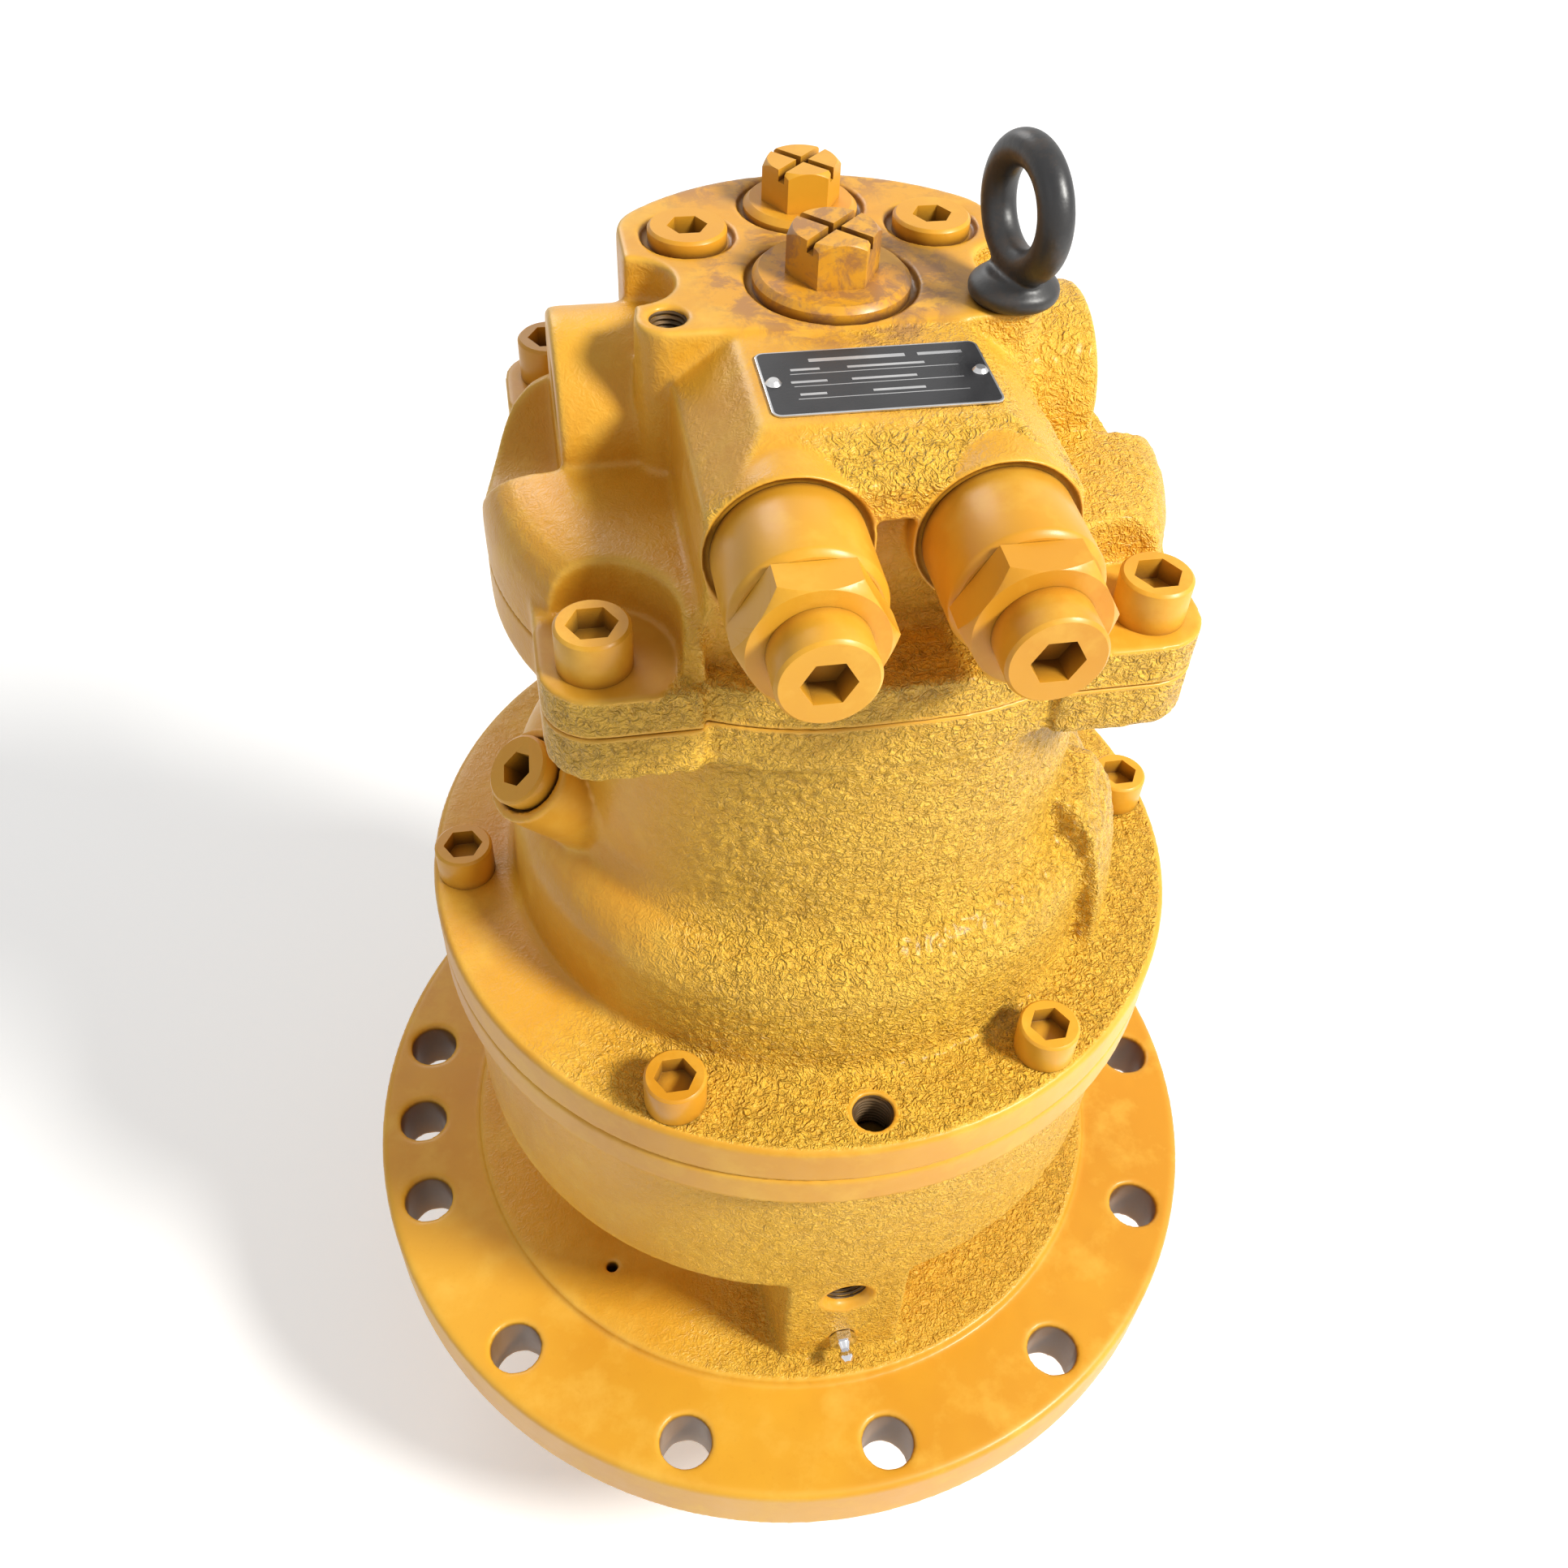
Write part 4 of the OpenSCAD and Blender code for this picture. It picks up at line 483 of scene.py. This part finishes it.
def casting(node, name, voxel, rounds, machined, texture, wear_and_shade=nowhere, bore=nowhere,
            material=CASTING_PAINT):
    """A cast body: the CAD shape with soft fillets where nothing is machined, and its wrinkled skin.

    The masks machined, texture, wear and bore each give a value from 0 to 1 per point.
    """
    obj = new_object(name, NODES[node].data.copy(), material, BODY_OF[node])
    remesh = obj.modifiers.new("grid", "REMESH")
    remesh.mode = "VOXEL"
    remesh.voxel_size = voxel
    remesh.use_smooth_shade = True
    apply_modifiers(obj)
    before = points_of(obj.data)
    worked = np.clip(machined(before), 0, 1)
    relax(obj.data, 1 - HELD_SHARE * worked, rounds)
    relax(obj.data, np.full(len(before), 0.5), 2)
    co, normal = points_of(obj.data), normals_of(obj.data)
    shaved = -((co - before) * normal).sum(1)
    rough = np.clip(texture(before) * (1 - worked), 0, 1)
    depth = wrinkles(before) * rough
    # These stored values also steer painted light in the enamel: a highlight yellow on the rough skin, shade
    # in its hollows, a highlight on rounded edges, shade in the flange holes and round the front plug
    store(obj.data, "cast", rough)
    store(obj.data, "valley_shade", depth)
    store(obj.data, "edge", shaved / EDGE_HIGHLIGHT_MOVE)
    store(obj.data, "wear_and_shade", wear_and_shade(before))
    store(obj.data, "bore", bore(before))
    co -= normal * (WRINKLE_DEPTH * depth)[:, None]
    obj.data.vertices.foreach_set("co", co.astype(np.float32).ravel())
    obj.data.update()
    obj.modifiers.new("fewer", "DECIMATE").ratio = FACES_KEPT
    apply_modifiers(obj)
    obj.data.materials.clear()
    obj.data.materials.append(material)
    obj.data.polygons.foreach_set("use_smooth", np.ones(len(obj.data.polygons), bool))
    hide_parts(node)


WELD_GAP = 0.01 * MM
SHARP = math.radians(30)


def round_edges(obj, width):
    edge = obj.modifiers.new("edge", "BEVEL")
    edge.width = width
    edge.segments = 2
    edge.limit_method = "ANGLE"
    edge.angle_limit = SHARP


def dress(node, material, bevel=0.0):
    """A CAD node keeps its shape and gets its finish, and small rounded edges if it is painted."""
    obj = NODES[node]
    obj.data.materials.clear()
    obj.data.materials.append(material)
    obj.data.polygons.foreach_set("material_index", np.zeros(len(obj.data.polygons), np.int32))
    obj.modifiers.new("weld", "WELD").merge_threshold = WELD_GAP
    if bevel:
        round_edges(obj, bevel)


# Castings
def spots(co, places, soft=SOFT):
    """The most that any of some round machined places covers each point."""
    work = np.zeros(len(co))
    for centre, axis, radius, depth, lip in places:
        work = np.maximum(work, near_axis(co, centre, axis, radius, depth, lip, soft))
    return work


def facing(co, turn, low, high):
    """1 on the side of the vertical axis that faces a direction in degrees, 0 on the far side."""
    angle = np.arctan2(co[:, 1], co[:, 0])
    return smoothstep(np.cos(angle - math.radians(turn)), low, high)


def widest(*masks):
    """The greatest of some masks at each point."""
    return np.maximum.reduce(masks)


# How far the machined places reach before their faces and behind them
SEAT_LIP, LIP, BOSS_LIP = 0.5 * MM, 1 * MM, 6 * MM
THROUGH = 60 * MM
PLUG_DEPTH, SCREW_DEPTH, PORT_DEPTH, BORE_DEPTH = 40 * MM, 20 * MM, 34 * MM, 30 * MM
SEAT_DEPTH = 0.6 * MM
DRAIN_DEPTH, DRAIN_LIP = 18 * MM, 4 * MM
TOP_SHARE = 0.75


def cover_machined(co):
    """The flat top, the foot, and the faces and bores of the cover's plugs, ports and screws."""
    z = co[:, 2]
    places = [((0, at, TOP_Z), UP_AXIS, r, THROUGH, LIP) for at, r in zip(MAKEUP_Y, MAKEUP_RECESS_R)]
    places.append(((0, FEED_Y, FEED_Z), BACK_AXIS, FEED_FACE_R, BORE_DEPTH, BOSS_LIP))
    for side in (-1, 1):
        for end in (-1, 1):
            seat = (side * SCREW_X, end * SCREW_Y, PLATE_TOP)
            places.append((seat, UP_AXIS, SCREW_SEAT_R, SEAT_DEPTH, LIP))
            places.append((seat, UP_AXIS, SCREW_HOLE_R, SCREW_DEPTH, LIP))
        port, relief = (side * PORT_X, PORT_Y, PORT_Z), (side * RELIEF_X, BLOCK_Y, RELIEF_Z)
        places.append((port, (side, 0, 0), PORT_FACE_R, PORT_DEPTH, BOSS_LIP))
        places.append((relief, BACK_AXIS, RELIEF_BORE_R, LIP, RELIEF_BORE_L))
        places.append(((side * GAUGE_X, GAUGE_Y, TOP_Z), UP_AXIS, GAUGE_RECESS_R, PLUG_DEPTH, LIP))
        places.append(((side * TAP_X, TAP_Y, TOP_Z), UP_AXIS, TAP_FACE_R, PLUG_DEPTH, LIP))
    foot = below(z, SEAM_Z + 0.6 * MM, soft=1.4 * MM)
    top = above(z, TOP_Z - 0.8 * MM, soft=0.5 * MM)
    return widest(spots(co, places), foot, TOP_SHARE * top)


def flange_skin(co):
    """The rough front of the two square flanges at the upper joint."""
    x, y, z = co.T
    band = above(z, SEAM_Z - TOP_FLANGE_T - 4 * MM, soft=4 * MM) * below(z, PLATE_TOP - 1 * MM, soft=6 * MM)
    return band * below(y, -92 * MM, soft=12 * MM)


def cover_texture(co):
    """The cover is rough on its right side, its nose and its front ledge, smooth on its top."""
    x, y, z = co.T
    right = 0.14 + 0.6 * facing(co, -25, 0.15, 0.7)
    nose = above(z, SEAM_Z + 62 * MM, soft=8 * MM) * below(y, -76 * MM, soft=12 * MM)
    nose = nose * above(x, -40 * MM, soft=30 * MM)
    ledge = below(y, -88 * MM, soft=10 * MM)
    top = above(z, TOP_Z - 2 * MM, soft=1.5 * MM)
    return widest(right, flange_skin(co), 0.9 * nose, 0.5 * ledge) * (1 - 0.85 * top)


def cover_wear_and_shade(co):
    """Rubbed paint on the flat top, most of all round the front plug, where it is also painted shade, and at
    the back.
    """
    x, y, z = co.T
    top = above(z, TOP_Z - 6 * MM, soft=5 * MM)
    front_plug = below(np.hypot(x, y - MAKEUP_Y[0]), 34 * MM, soft=14 * MM)
    back = above(y, 60 * MM, soft=24 * MM)
    return top * np.clip(0.15 + front_plug + 0.8 * back, 0, 1)


def casing_machined(co):
    """The casing's two joint faces, the disc's rim, the screws' seats and the drain's face."""
    x, y, z = co.T
    faces = widest(above(z, SEAM_Z - 2 * MM, soft=1.4 * MM), below(z, JOINT_Z + 1 * MM, soft=2 * MM))
    rim = above(np.hypot(x, y), JOINT_R - 3 * MM, soft=1.5 * MM) * (z < CASING_DISC_TOP + 1 * MM)
    seats = [((0, -JACK_HOLE_R, CASING_DISC_TOP), UP_AXIS, JACK_FACE_R, BORE_DEPTH, SEAT_LIP)]
    for k in range(JOINT_SCREWS):
        turn = 2 * math.pi * k / JOINT_SCREWS
        seat = (JOINT_SCREW_R * math.cos(turn), JOINT_SCREW_R * math.sin(turn), CASING_DISC_TOP)
        seats.append((seat, UP_AXIS, JOINT_SEAT_R, BORE_DEPTH, SEAT_LIP))
    outward = Vector((math.cos(DRAIN_TURN), math.sin(DRAIN_TURN), 0))
    tilted = outward * math.sin(DRAIN_TILT) + Vector((0, 0, math.cos(DRAIN_TILT)))
    seat = outward * DRAIN_R + Vector((0, 0, DRAIN_Z))
    drain = near_axis(co, seat, tilted, DRAIN_FACE_R, DRAIN_DEPTH, DRAIN_LIP)
    return widest(faces, rim, spots(co, seats, CRISP), drain)


def casing_texture(co):
    """The casing is rough in front and on its disc, less so at the back, smooth on the left."""
    front = 0.12 + 0.88 * facing(co, -58, 0.1, 0.62)
    back = 0.45 * facing(co, 90, 0.2, 0.8)
    disc = below(co[:, 2], CASING_DISC_TOP, soft=3 * MM) * facing(co, -50, -0.25, 0.3)
    return widest(front, back, 0.85 * disc, flange_skin(co))


def case_machined(co):
    """The flange, its raised face, the upper disc, the bores and the faces on the front boss."""
    x, y, z = co.T
    radius = np.hypot(x, y)
    flange = below(z, FLANGE_T + 0.3 * MM, soft=0.5 * MM) * (radius > WEB_BORE_R / 2)
    raised = above(radius, RAISED_R - 2.5 * MM, soft=1.5 * MM) * (z < RAISED_Z + 1 * MM)
    disc = above(z, JOINT_Z - CASE_DISC_T - 1.5 * MM, soft=2.5 * MM) * above(radius, CASE_DISC_R, soft=3 * MM)
    face = above(z, JOINT_Z - 1.5 * MM, soft=1 * MM)
    bore = below(radius, WEB_BORE_R, soft=3 * MM)
    ports = [
        ((0, BOSS_FACE_Y, LEVEL_PORT_Z), (0, -1, 0), LEVEL_FACE_R, BORE_DEPTH, LIP),
        ((0, BOSS_FACE_Y, GREASE_Z), (0, -1, 0), GREASE_FACE_R, BORE_DEPTH, LIP),
        ((VENT_X, VENT_Y, RAISED_Z), UP_AXIS, VENT_R, VENT_DEPTH, LIP),
    ]
    return widest(flange, raised, disc, face, bore, spots(co, ports, CRISP))


def case_texture(co):
    """The lower case is rough in front and a little at the back."""
    return 0.16 + 0.7 * facing(co, -62, 0.35, 0.85) + 0.25 * facing(co, 90, 0.2, 0.8)


def eye_machined(co):
    """The shank of the eye bolt, below the cover's top."""
    return near_axis(co, (TAP_X, TAP_Y, TOP_Z), UP_AXIS, EYE_COLLAR_R, BORE_DEPTH, SEAT_LIP)


def flange_bore_shade(co):
    """The walls of the flange holes, darkened with painted shade and dirt: nothing else lies there between
    the flange's two faces.
    """
    x, y, z = co.T
    ring = below(np.abs(np.hypot(x, y) - FLANGE_PCD / 2), HOLE_RIM, HOLE_RIM_SOFT)
    return ring * above(z, 0.4 * MM, soft=0.8 * MM) * below(z, FLANGE_T - 2.4 * MM, soft=1.2 * MM)


COVER_GRID = 0.85 * MM
CASING_GRID = 1.05 * MM
CASE_GRID = 1.3 * MM
EYE_GRID = 0.7 * MM

# More rounds of relaxing give larger fillets
COVER_ROUNDS, CASING_ROUNDS, CASE_ROUNDS, EYE_ROUNDS = 22, 18, 14, 14
casting("port_cover", "cast_port_cover", COVER_GRID, COVER_ROUNDS, cover_machined, cover_texture,
        wear_and_shade=cover_wear_and_shade)
casting("motor_casing", "cast_motor_casing", CASING_GRID, CASING_ROUNDS, casing_machined, casing_texture)
casting("lower_case", "cast_lower_case", CASE_GRID, CASE_ROUNDS, case_machined, case_texture,
        bore=flange_bore_shade)
casting("eye_bolt", "forged_eye_bolt", EYE_GRID, EYE_ROUNDS, eye_machined, nowhere,
        material=BLACK)

# Machined and hidden nodes
PAINTED = ["case_bolts", "cover_bolts", "relief_body_left", "relief_body_right", "relief_nut_left",
           "relief_nut_right", "relief_cap_left", "relief_cap_right", "gauge_plugs", "drain_plug",
           "makeup_plug_back"]
PAINTED_EDGE = 0.7 * MM
for node in PAINTED:
    dress(node, PAINT, PAINTED_EDGE)
# The front plug is browner: worn paint and painted shade
dress("makeup_plug_front", WORN_AND_SHADED_PAINT, PAINTED_EDGE)
dress("grease_fitting", CHROME, 0.25 * MM)
dress("nameplate_rivets", SILVER, 0.2 * MM)
FINISH = {"steel": STEEL, "dark_steel": OILED, "bronze": BRONZE, "rubber": RUBBER}
SLOT_OF = {p["node"]: p["material_slot"] for p in frame["record"]["subparts"]}
for node, slot in SLOT_OF.items():
    if slot in FINISH and node != "nameplate_rivets":
        dress(node, FINISH[slot])


# Helical springs in the place of plain tubes
def coil(name, node, centres, axis, outer, wire, pitch, slide=None):
    """Helical springs with closed ends in the place of a node's plain tubes.

    With a slide, the springs get a mesh of their own.
    """
    low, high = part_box(node)
    axis = Vector(axis)
    start, length = low.dot(axis), (high - low).dot(axis)
    side = axis.orthogonal().normalized()
    other = axis.cross(side)
    turns = round((length - 3 * wire) / pitch) + 2
    per_turn, ring = 24, 8
    steps = turns * per_turn
    ends = [0, 1, turns - 1, turns]
    heights = [wire / 2, 1.5 * wire, length - 1.5 * wire, length - wire / 2]
    verts, faces = [], []
    for centre in centres:
        first = len(verts)
        foot = Vector(centre) - axis * Vector(centre).dot(axis) + axis * start
        for i in range(steps + 1):
            turn = i / per_turn
            radial = side * math.cos(2 * math.pi * turn) + other * math.sin(2 * math.pi * turn)
            middle = foot + axis * float(np.interp(turn, ends, heights)) + radial * (outer - wire / 2)
            for j in range(ring):
                b = 2 * math.pi * j / ring
                verts.append(middle + (radial * math.cos(b) + axis * math.sin(b)) * (wire / 2))
        for i in range(steps):
            for j in range(ring):
                a, n = first + i * ring, (j + 1) % ring
                faces.append((a + j, a + n, a + ring + n, a + ring + j))
        faces.append(tuple(first + j for j in range(ring)))
        faces.append(tuple(first + steps * ring + j for j in reversed(range(ring))))
    spring = new_object(name, closed_mesh(name, verts, faces), OILED, BODY_OF[node])
    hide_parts(node)
    if slide:
        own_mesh(spring)


for end in ("front", "back"):
    node = "makeup_spring_" + end
    low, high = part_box(node)
    coil("makeup_coil_" + end, node, [middle_of(node)], UP_AXIS, outer=(high.x - low.x) / 2, wire=2 * MM,
         pitch=3.9 * MM, slide="makeup_" + end + "_slide")
for side in ("left", "right"):
    node = "relief_spring_" + side
    low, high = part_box(node)
    coil("relief_coil_" + side, node, [middle_of(node)], BACK_AXIS, outer=(high.x - low.x) / 2,
         wire=2.5 * MM, pitch=4.2 * MM)
BRAKE_SPRINGS, BRAKE_SPRING_R = 12, 5.5 * MM
BRAKE_RING_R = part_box("brake_springs")[1].x - BRAKE_SPRING_R
brake_centres = []
for k in range(BRAKE_SPRINGS):
    turn = 2 * math.pi * k / BRAKE_SPRINGS
    brake_centres.append((BRAKE_RING_R * math.cos(turn), BRAKE_RING_R * math.sin(turn), 0))
coil("brake_coils", "brake_springs", brake_centres, UP_AXIS, outer=BRAKE_SPRING_R, wire=1.6 * MM,
     pitch=3 * MM, slide="brake_slide")


# Threads in the open holes
THREAD_DEPTH_SHARE = 0.54
SLEEVE_T = 0.15 * MM


def thread(name, mount, pitch, mouth_l, length):
    """A closed sleeve with a helical thread on its inside, seated on the wall of a tapped hole.

    The sleeve starts at mouth_l from the mount's place, towards the hole's mouth.
    """
    m = MOUNTS[mount]
    axis = Vector(m["axis"]).normalized()
    radius = m["dims"]["r_mm"] * MM
    mouth = Vector(m["pos_m"]) + axis * mouth_l
    columns, per_turn = 72, 8
    rows = int(length / pitch * per_turn)
    side = axis.orthogonal().normalized()
    other = axis.cross(side)
    verts, faces = [], []
    for i in range(rows + 1):
        t = i / rows * length
        for j in range(columns):
            share = j / columns
            phase = (t / pitch + share) % 1.0
            fade = min(1.0, i / per_turn, (rows - i) / per_turn)
            r = radius - pitch * THREAD_DEPTH_SHARE * (1 - abs(2 * phase - 1)) * fade
            a = 2 * math.pi * share
            verts.append(mouth - axis * t + (side * math.cos(a) + other * math.sin(a)) * r)
    outer = radius + SLEEVE_T
    for t in (length, 0.0):
        for j in range(columns):
            a = 2 * math.pi * j / columns
            verts.append(mouth - axis * t + (side * math.cos(a) + other * math.sin(a)) * outer)
    rings = rows + 3
    for i in range(rings):
        k = (i + 1) % rings
        for j in range(columns):
            n = (j + 1) % columns
            faces.append((i * columns + j, i * columns + n, k * columns + n, k * columns + j))
    new_object(name, closed_mesh(name, verts, faces), THREAD, "housing")


M12_PITCH, M16_PITCH, G12_PITCH, G1_PITCH = 1.75 * MM, 2 * MM, 1.81 * MM, 2.31 * MM
thread("thread_lifting_hole", "lifting_hole", M12_PITCH, mouth_l=10 * MM, length=20 * MM)
thread("thread_jacking_hole", "jacking_hole", M16_PITCH, mouth_l=9.5 * MM, length=19 * MM)
thread("thread_level_port", "level_port", G12_PITCH, mouth_l=10.5 * MM, length=21 * MM)
thread("thread_port_a", "port_a", G1_PITCH, mouth_l=10.5 * MM, length=24 * MM)
thread("thread_port_b", "port_b", G1_PITCH, mouth_l=10.5 * MM, length=24 * MM)
thread("thread_makeup_port", "makeup_port", G12_PITCH, mouth_l=9.5 * MM, length=18 * MM)


# Nameplate, left bare but for plain bars
def slab(name, x, y, z, w, l, t, corner, material, bevel):
    """A flat piece with rounded corners, w by l and t thick, whose underside is centred on x, y, z."""
    bm = bmesh.new()
    steps = 6
    ring = []
    for cx, cy, start in ((1, 1, 0), (-1, 1, 90), (-1, -1, 180), (1, -1, 270)):
        for i in range(steps + 1):
            a = math.radians(start + 90 * i / steps)
            corner_x = cx * (w / 2 - corner) + corner * math.cos(a)
            corner_y = cy * (l / 2 - corner) + corner * math.sin(a)
            ring.append(bm.verts.new((corner_x, corner_y, 0)))
    face = bm.faces.new(ring)
    top = bmesh.ops.extrude_face_region(bm, geom=[face])
    for v in (g for g in top["geom"] if isinstance(g, bmesh.types.BMVert)):
        v.co.z = t
    bmesh.ops.recalc_face_normals(bm, faces=bm.faces)
    bmesh.ops.translate(bm, vec=(x, y, z), verts=bm.verts)
    mesh = bpy.data.meshes.new(name)
    bm.to_mesh(mesh)
    bm.free()
    obj = new_object(name, mesh, material, "housing")
    if bevel:
        round_edges(obj, bevel)
    return obj


plate_low, plate_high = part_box("nameplate")
PLATE_W, PLATE_L = plate_high.x - plate_low.x, plate_high.y - plate_low.y
PLATE_CORNER, PLATE_EDGE, BAR_CORNER = 3 * MM, 0.15 * MM, 0.15 * MM
BASE_T, FIELD_T, BAR_T = 0.7 * MM, 0.45 * MM, 0.09 * MM
BORDER = 0.7 * MM
FIELD_Z = plate_low.z + 0.3 * MM
BAR_Z = plate_low.z + BASE_T
x, y = middle_of("nameplate").xy
plate = slab("plate_base", x, y, plate_low.z, PLATE_W, PLATE_L, BASE_T, PLATE_CORNER, SILVER, PLATE_EDGE)
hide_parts("nameplate")
field_w, field_l = PLATE_W - 2 * BORDER, PLATE_L - 2 * BORDER
slab("plate_field", x, y, FIELD_Z, field_w, field_l, FIELD_T, PLATE_CORNER - BORDER, PRINT, 0)

# Plain bars in mm from the plate's middle: across, along, width, height
BARS = [
    (-4, 11.5, 30, 1.8), (22, 11.5, 14, 1.6), (0, 4.2, 52, 0.35), (0, -2.6, 52, 0.35), (0, -9.4, 52, 0.35),
    (-21, 6.6, 9, 1.2), (4, 6.6, 24, 1.2), (-21, -0.2, 11, 1.2), (2, -0.2, 20, 1.2), (-21, -7, 8, 1.2),
    (5, -7, 16, 1.2),
]
for i, (dx, dy, w, l) in enumerate(BARS):
    slab(f"plate_bar_{i}", x + dx * MM, y + dy * MM, BAR_Z, w * MM, l * MM, BAR_T, BAR_CORNER, SILVER, 0)

# Floor, light, camera
FLOOR_Z, REACH = cad_low.z, 9
NEAR_SHARE, FAR_SHARE = 0.12, 0.4
NEAR_GLOW, FAR_GLOW = 0.3, 0.75
floor_mesh = bpy.data.meshes.new("floor")
corners = [(sx * REACH, sy * REACH, FLOOR_Z) for sx, sy in ((-1, -1), (1, -1), (1, 1), (-1, 1))]
floor_mesh.from_pydata(corners, [], [(0, 1, 2, 3)])
floor = bpy.data.objects.new("floor", floor_mesh)
bpy.context.scene.collection.objects.link(floor)
floor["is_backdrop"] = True
ground = Shader("floor_pale")
ground.bsdf.inputs["Base Color"].default_value = (0.93, 0.93, 0.925, 1)
ground.bsdf.inputs["Roughness"].default_value = 0.8
ground.bsdf.inputs["Specular IOR Level"].default_value = 0.1
ground.bsdf.inputs["Emission Color"].default_value = (1, 1, 1, 1)
distance = ground.add("VectorMath", links={"Vector": ground.place()}, operation="LENGTH").outputs["Value"]
share = ground.math("MULTIPLY", distance, 1 / REACH)
glow = ground.grey(share, (NEAR_SHARE, NEAR_GLOW), (FAR_SHARE, FAR_GLOW))
ground.wire("Emission Strength", ground.math("MULTIPLY", ground.seen_directly(), glow))
floor_mesh.materials.append(ground.material)

WORLD_LIGHT, WORLD_WHITE = 0.34, 1.0
world = bpy.data.worlds.new("studio")
bpy.context.scene.world = world
world.use_nodes = True
sky = Nodes(world.node_tree)
background = sky.tree.nodes["Background"]
level = sky.add("MapRange", links={"Value": sky.seen_directly()}, To_Min=WORLD_LIGHT, To_Max=WORLD_WHITE)
background.inputs["Color"].default_value = (1.0, 0.995, 0.985, 1)
sky.tree.links.new(level.outputs["Result"], background.inputs["Strength"])


def lamp(name, place, target, size, power, colour=(1, 1, 1)):
    data = bpy.data.lights.new(name, "AREA")
    data.shape = "DISK"
    data.size = size
    data.energy = power
    data.color = colour
    obj = bpy.data.objects.new(name, data)
    bpy.context.scene.collection.objects.link(obj)
    obj.location = place
    obj.rotation_euler = (Vector(target) - Vector(place)).to_track_quat("-Z", "Y").to_euler()


MIDDLE = (0, 0, 0.25)
lamp("key", (1.4, -1.15, 1.95), MIDDLE, size=0.55, power=76, colour=(1, 0.98, 0.93))
lamp("fill", (-1.9, -1.1, 1.5), MIDDLE, size=1.4, power=2)
lamp("back", (-0.6, 2.1, 1.7), MIDDLE, size=1.0, power=14)

# The camera's place, its line of sight and its roll, in the row frame
CAMERA_AT = Vector((-106.7, -425.79, 733.71)) * MM
LOOK = Vector((0.15465, 0.67323, -0.72308)).normalized()
UP = Vector((0.1056, 0.7164, 0.6896))
FOCAL_PX, IMAGE_PX, SENSOR = 1812.8, 1932, 36.0
data = bpy.data.cameras.new("camera")
data.sensor_width = SENSOR
data.lens = FOCAL_PX / IMAGE_PX * SENSOR
data.clip_start, data.clip_end = 0.02, 40
camera = bpy.data.objects.new("camera", data)
bpy.context.scene.collection.objects.link(camera)
right = LOOK.cross(UP).normalized()
up = right.cross(LOOK).normalized()
turn = Matrix((right, up, -LOOK)).transposed()
camera.matrix_world = Matrix.Translation(CAMERA_AT) @ turn.to_4x4()
bpy.context.scene.camera = camera
bpy.context.scene.view_settings.view_transform = "Standard"

low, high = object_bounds()
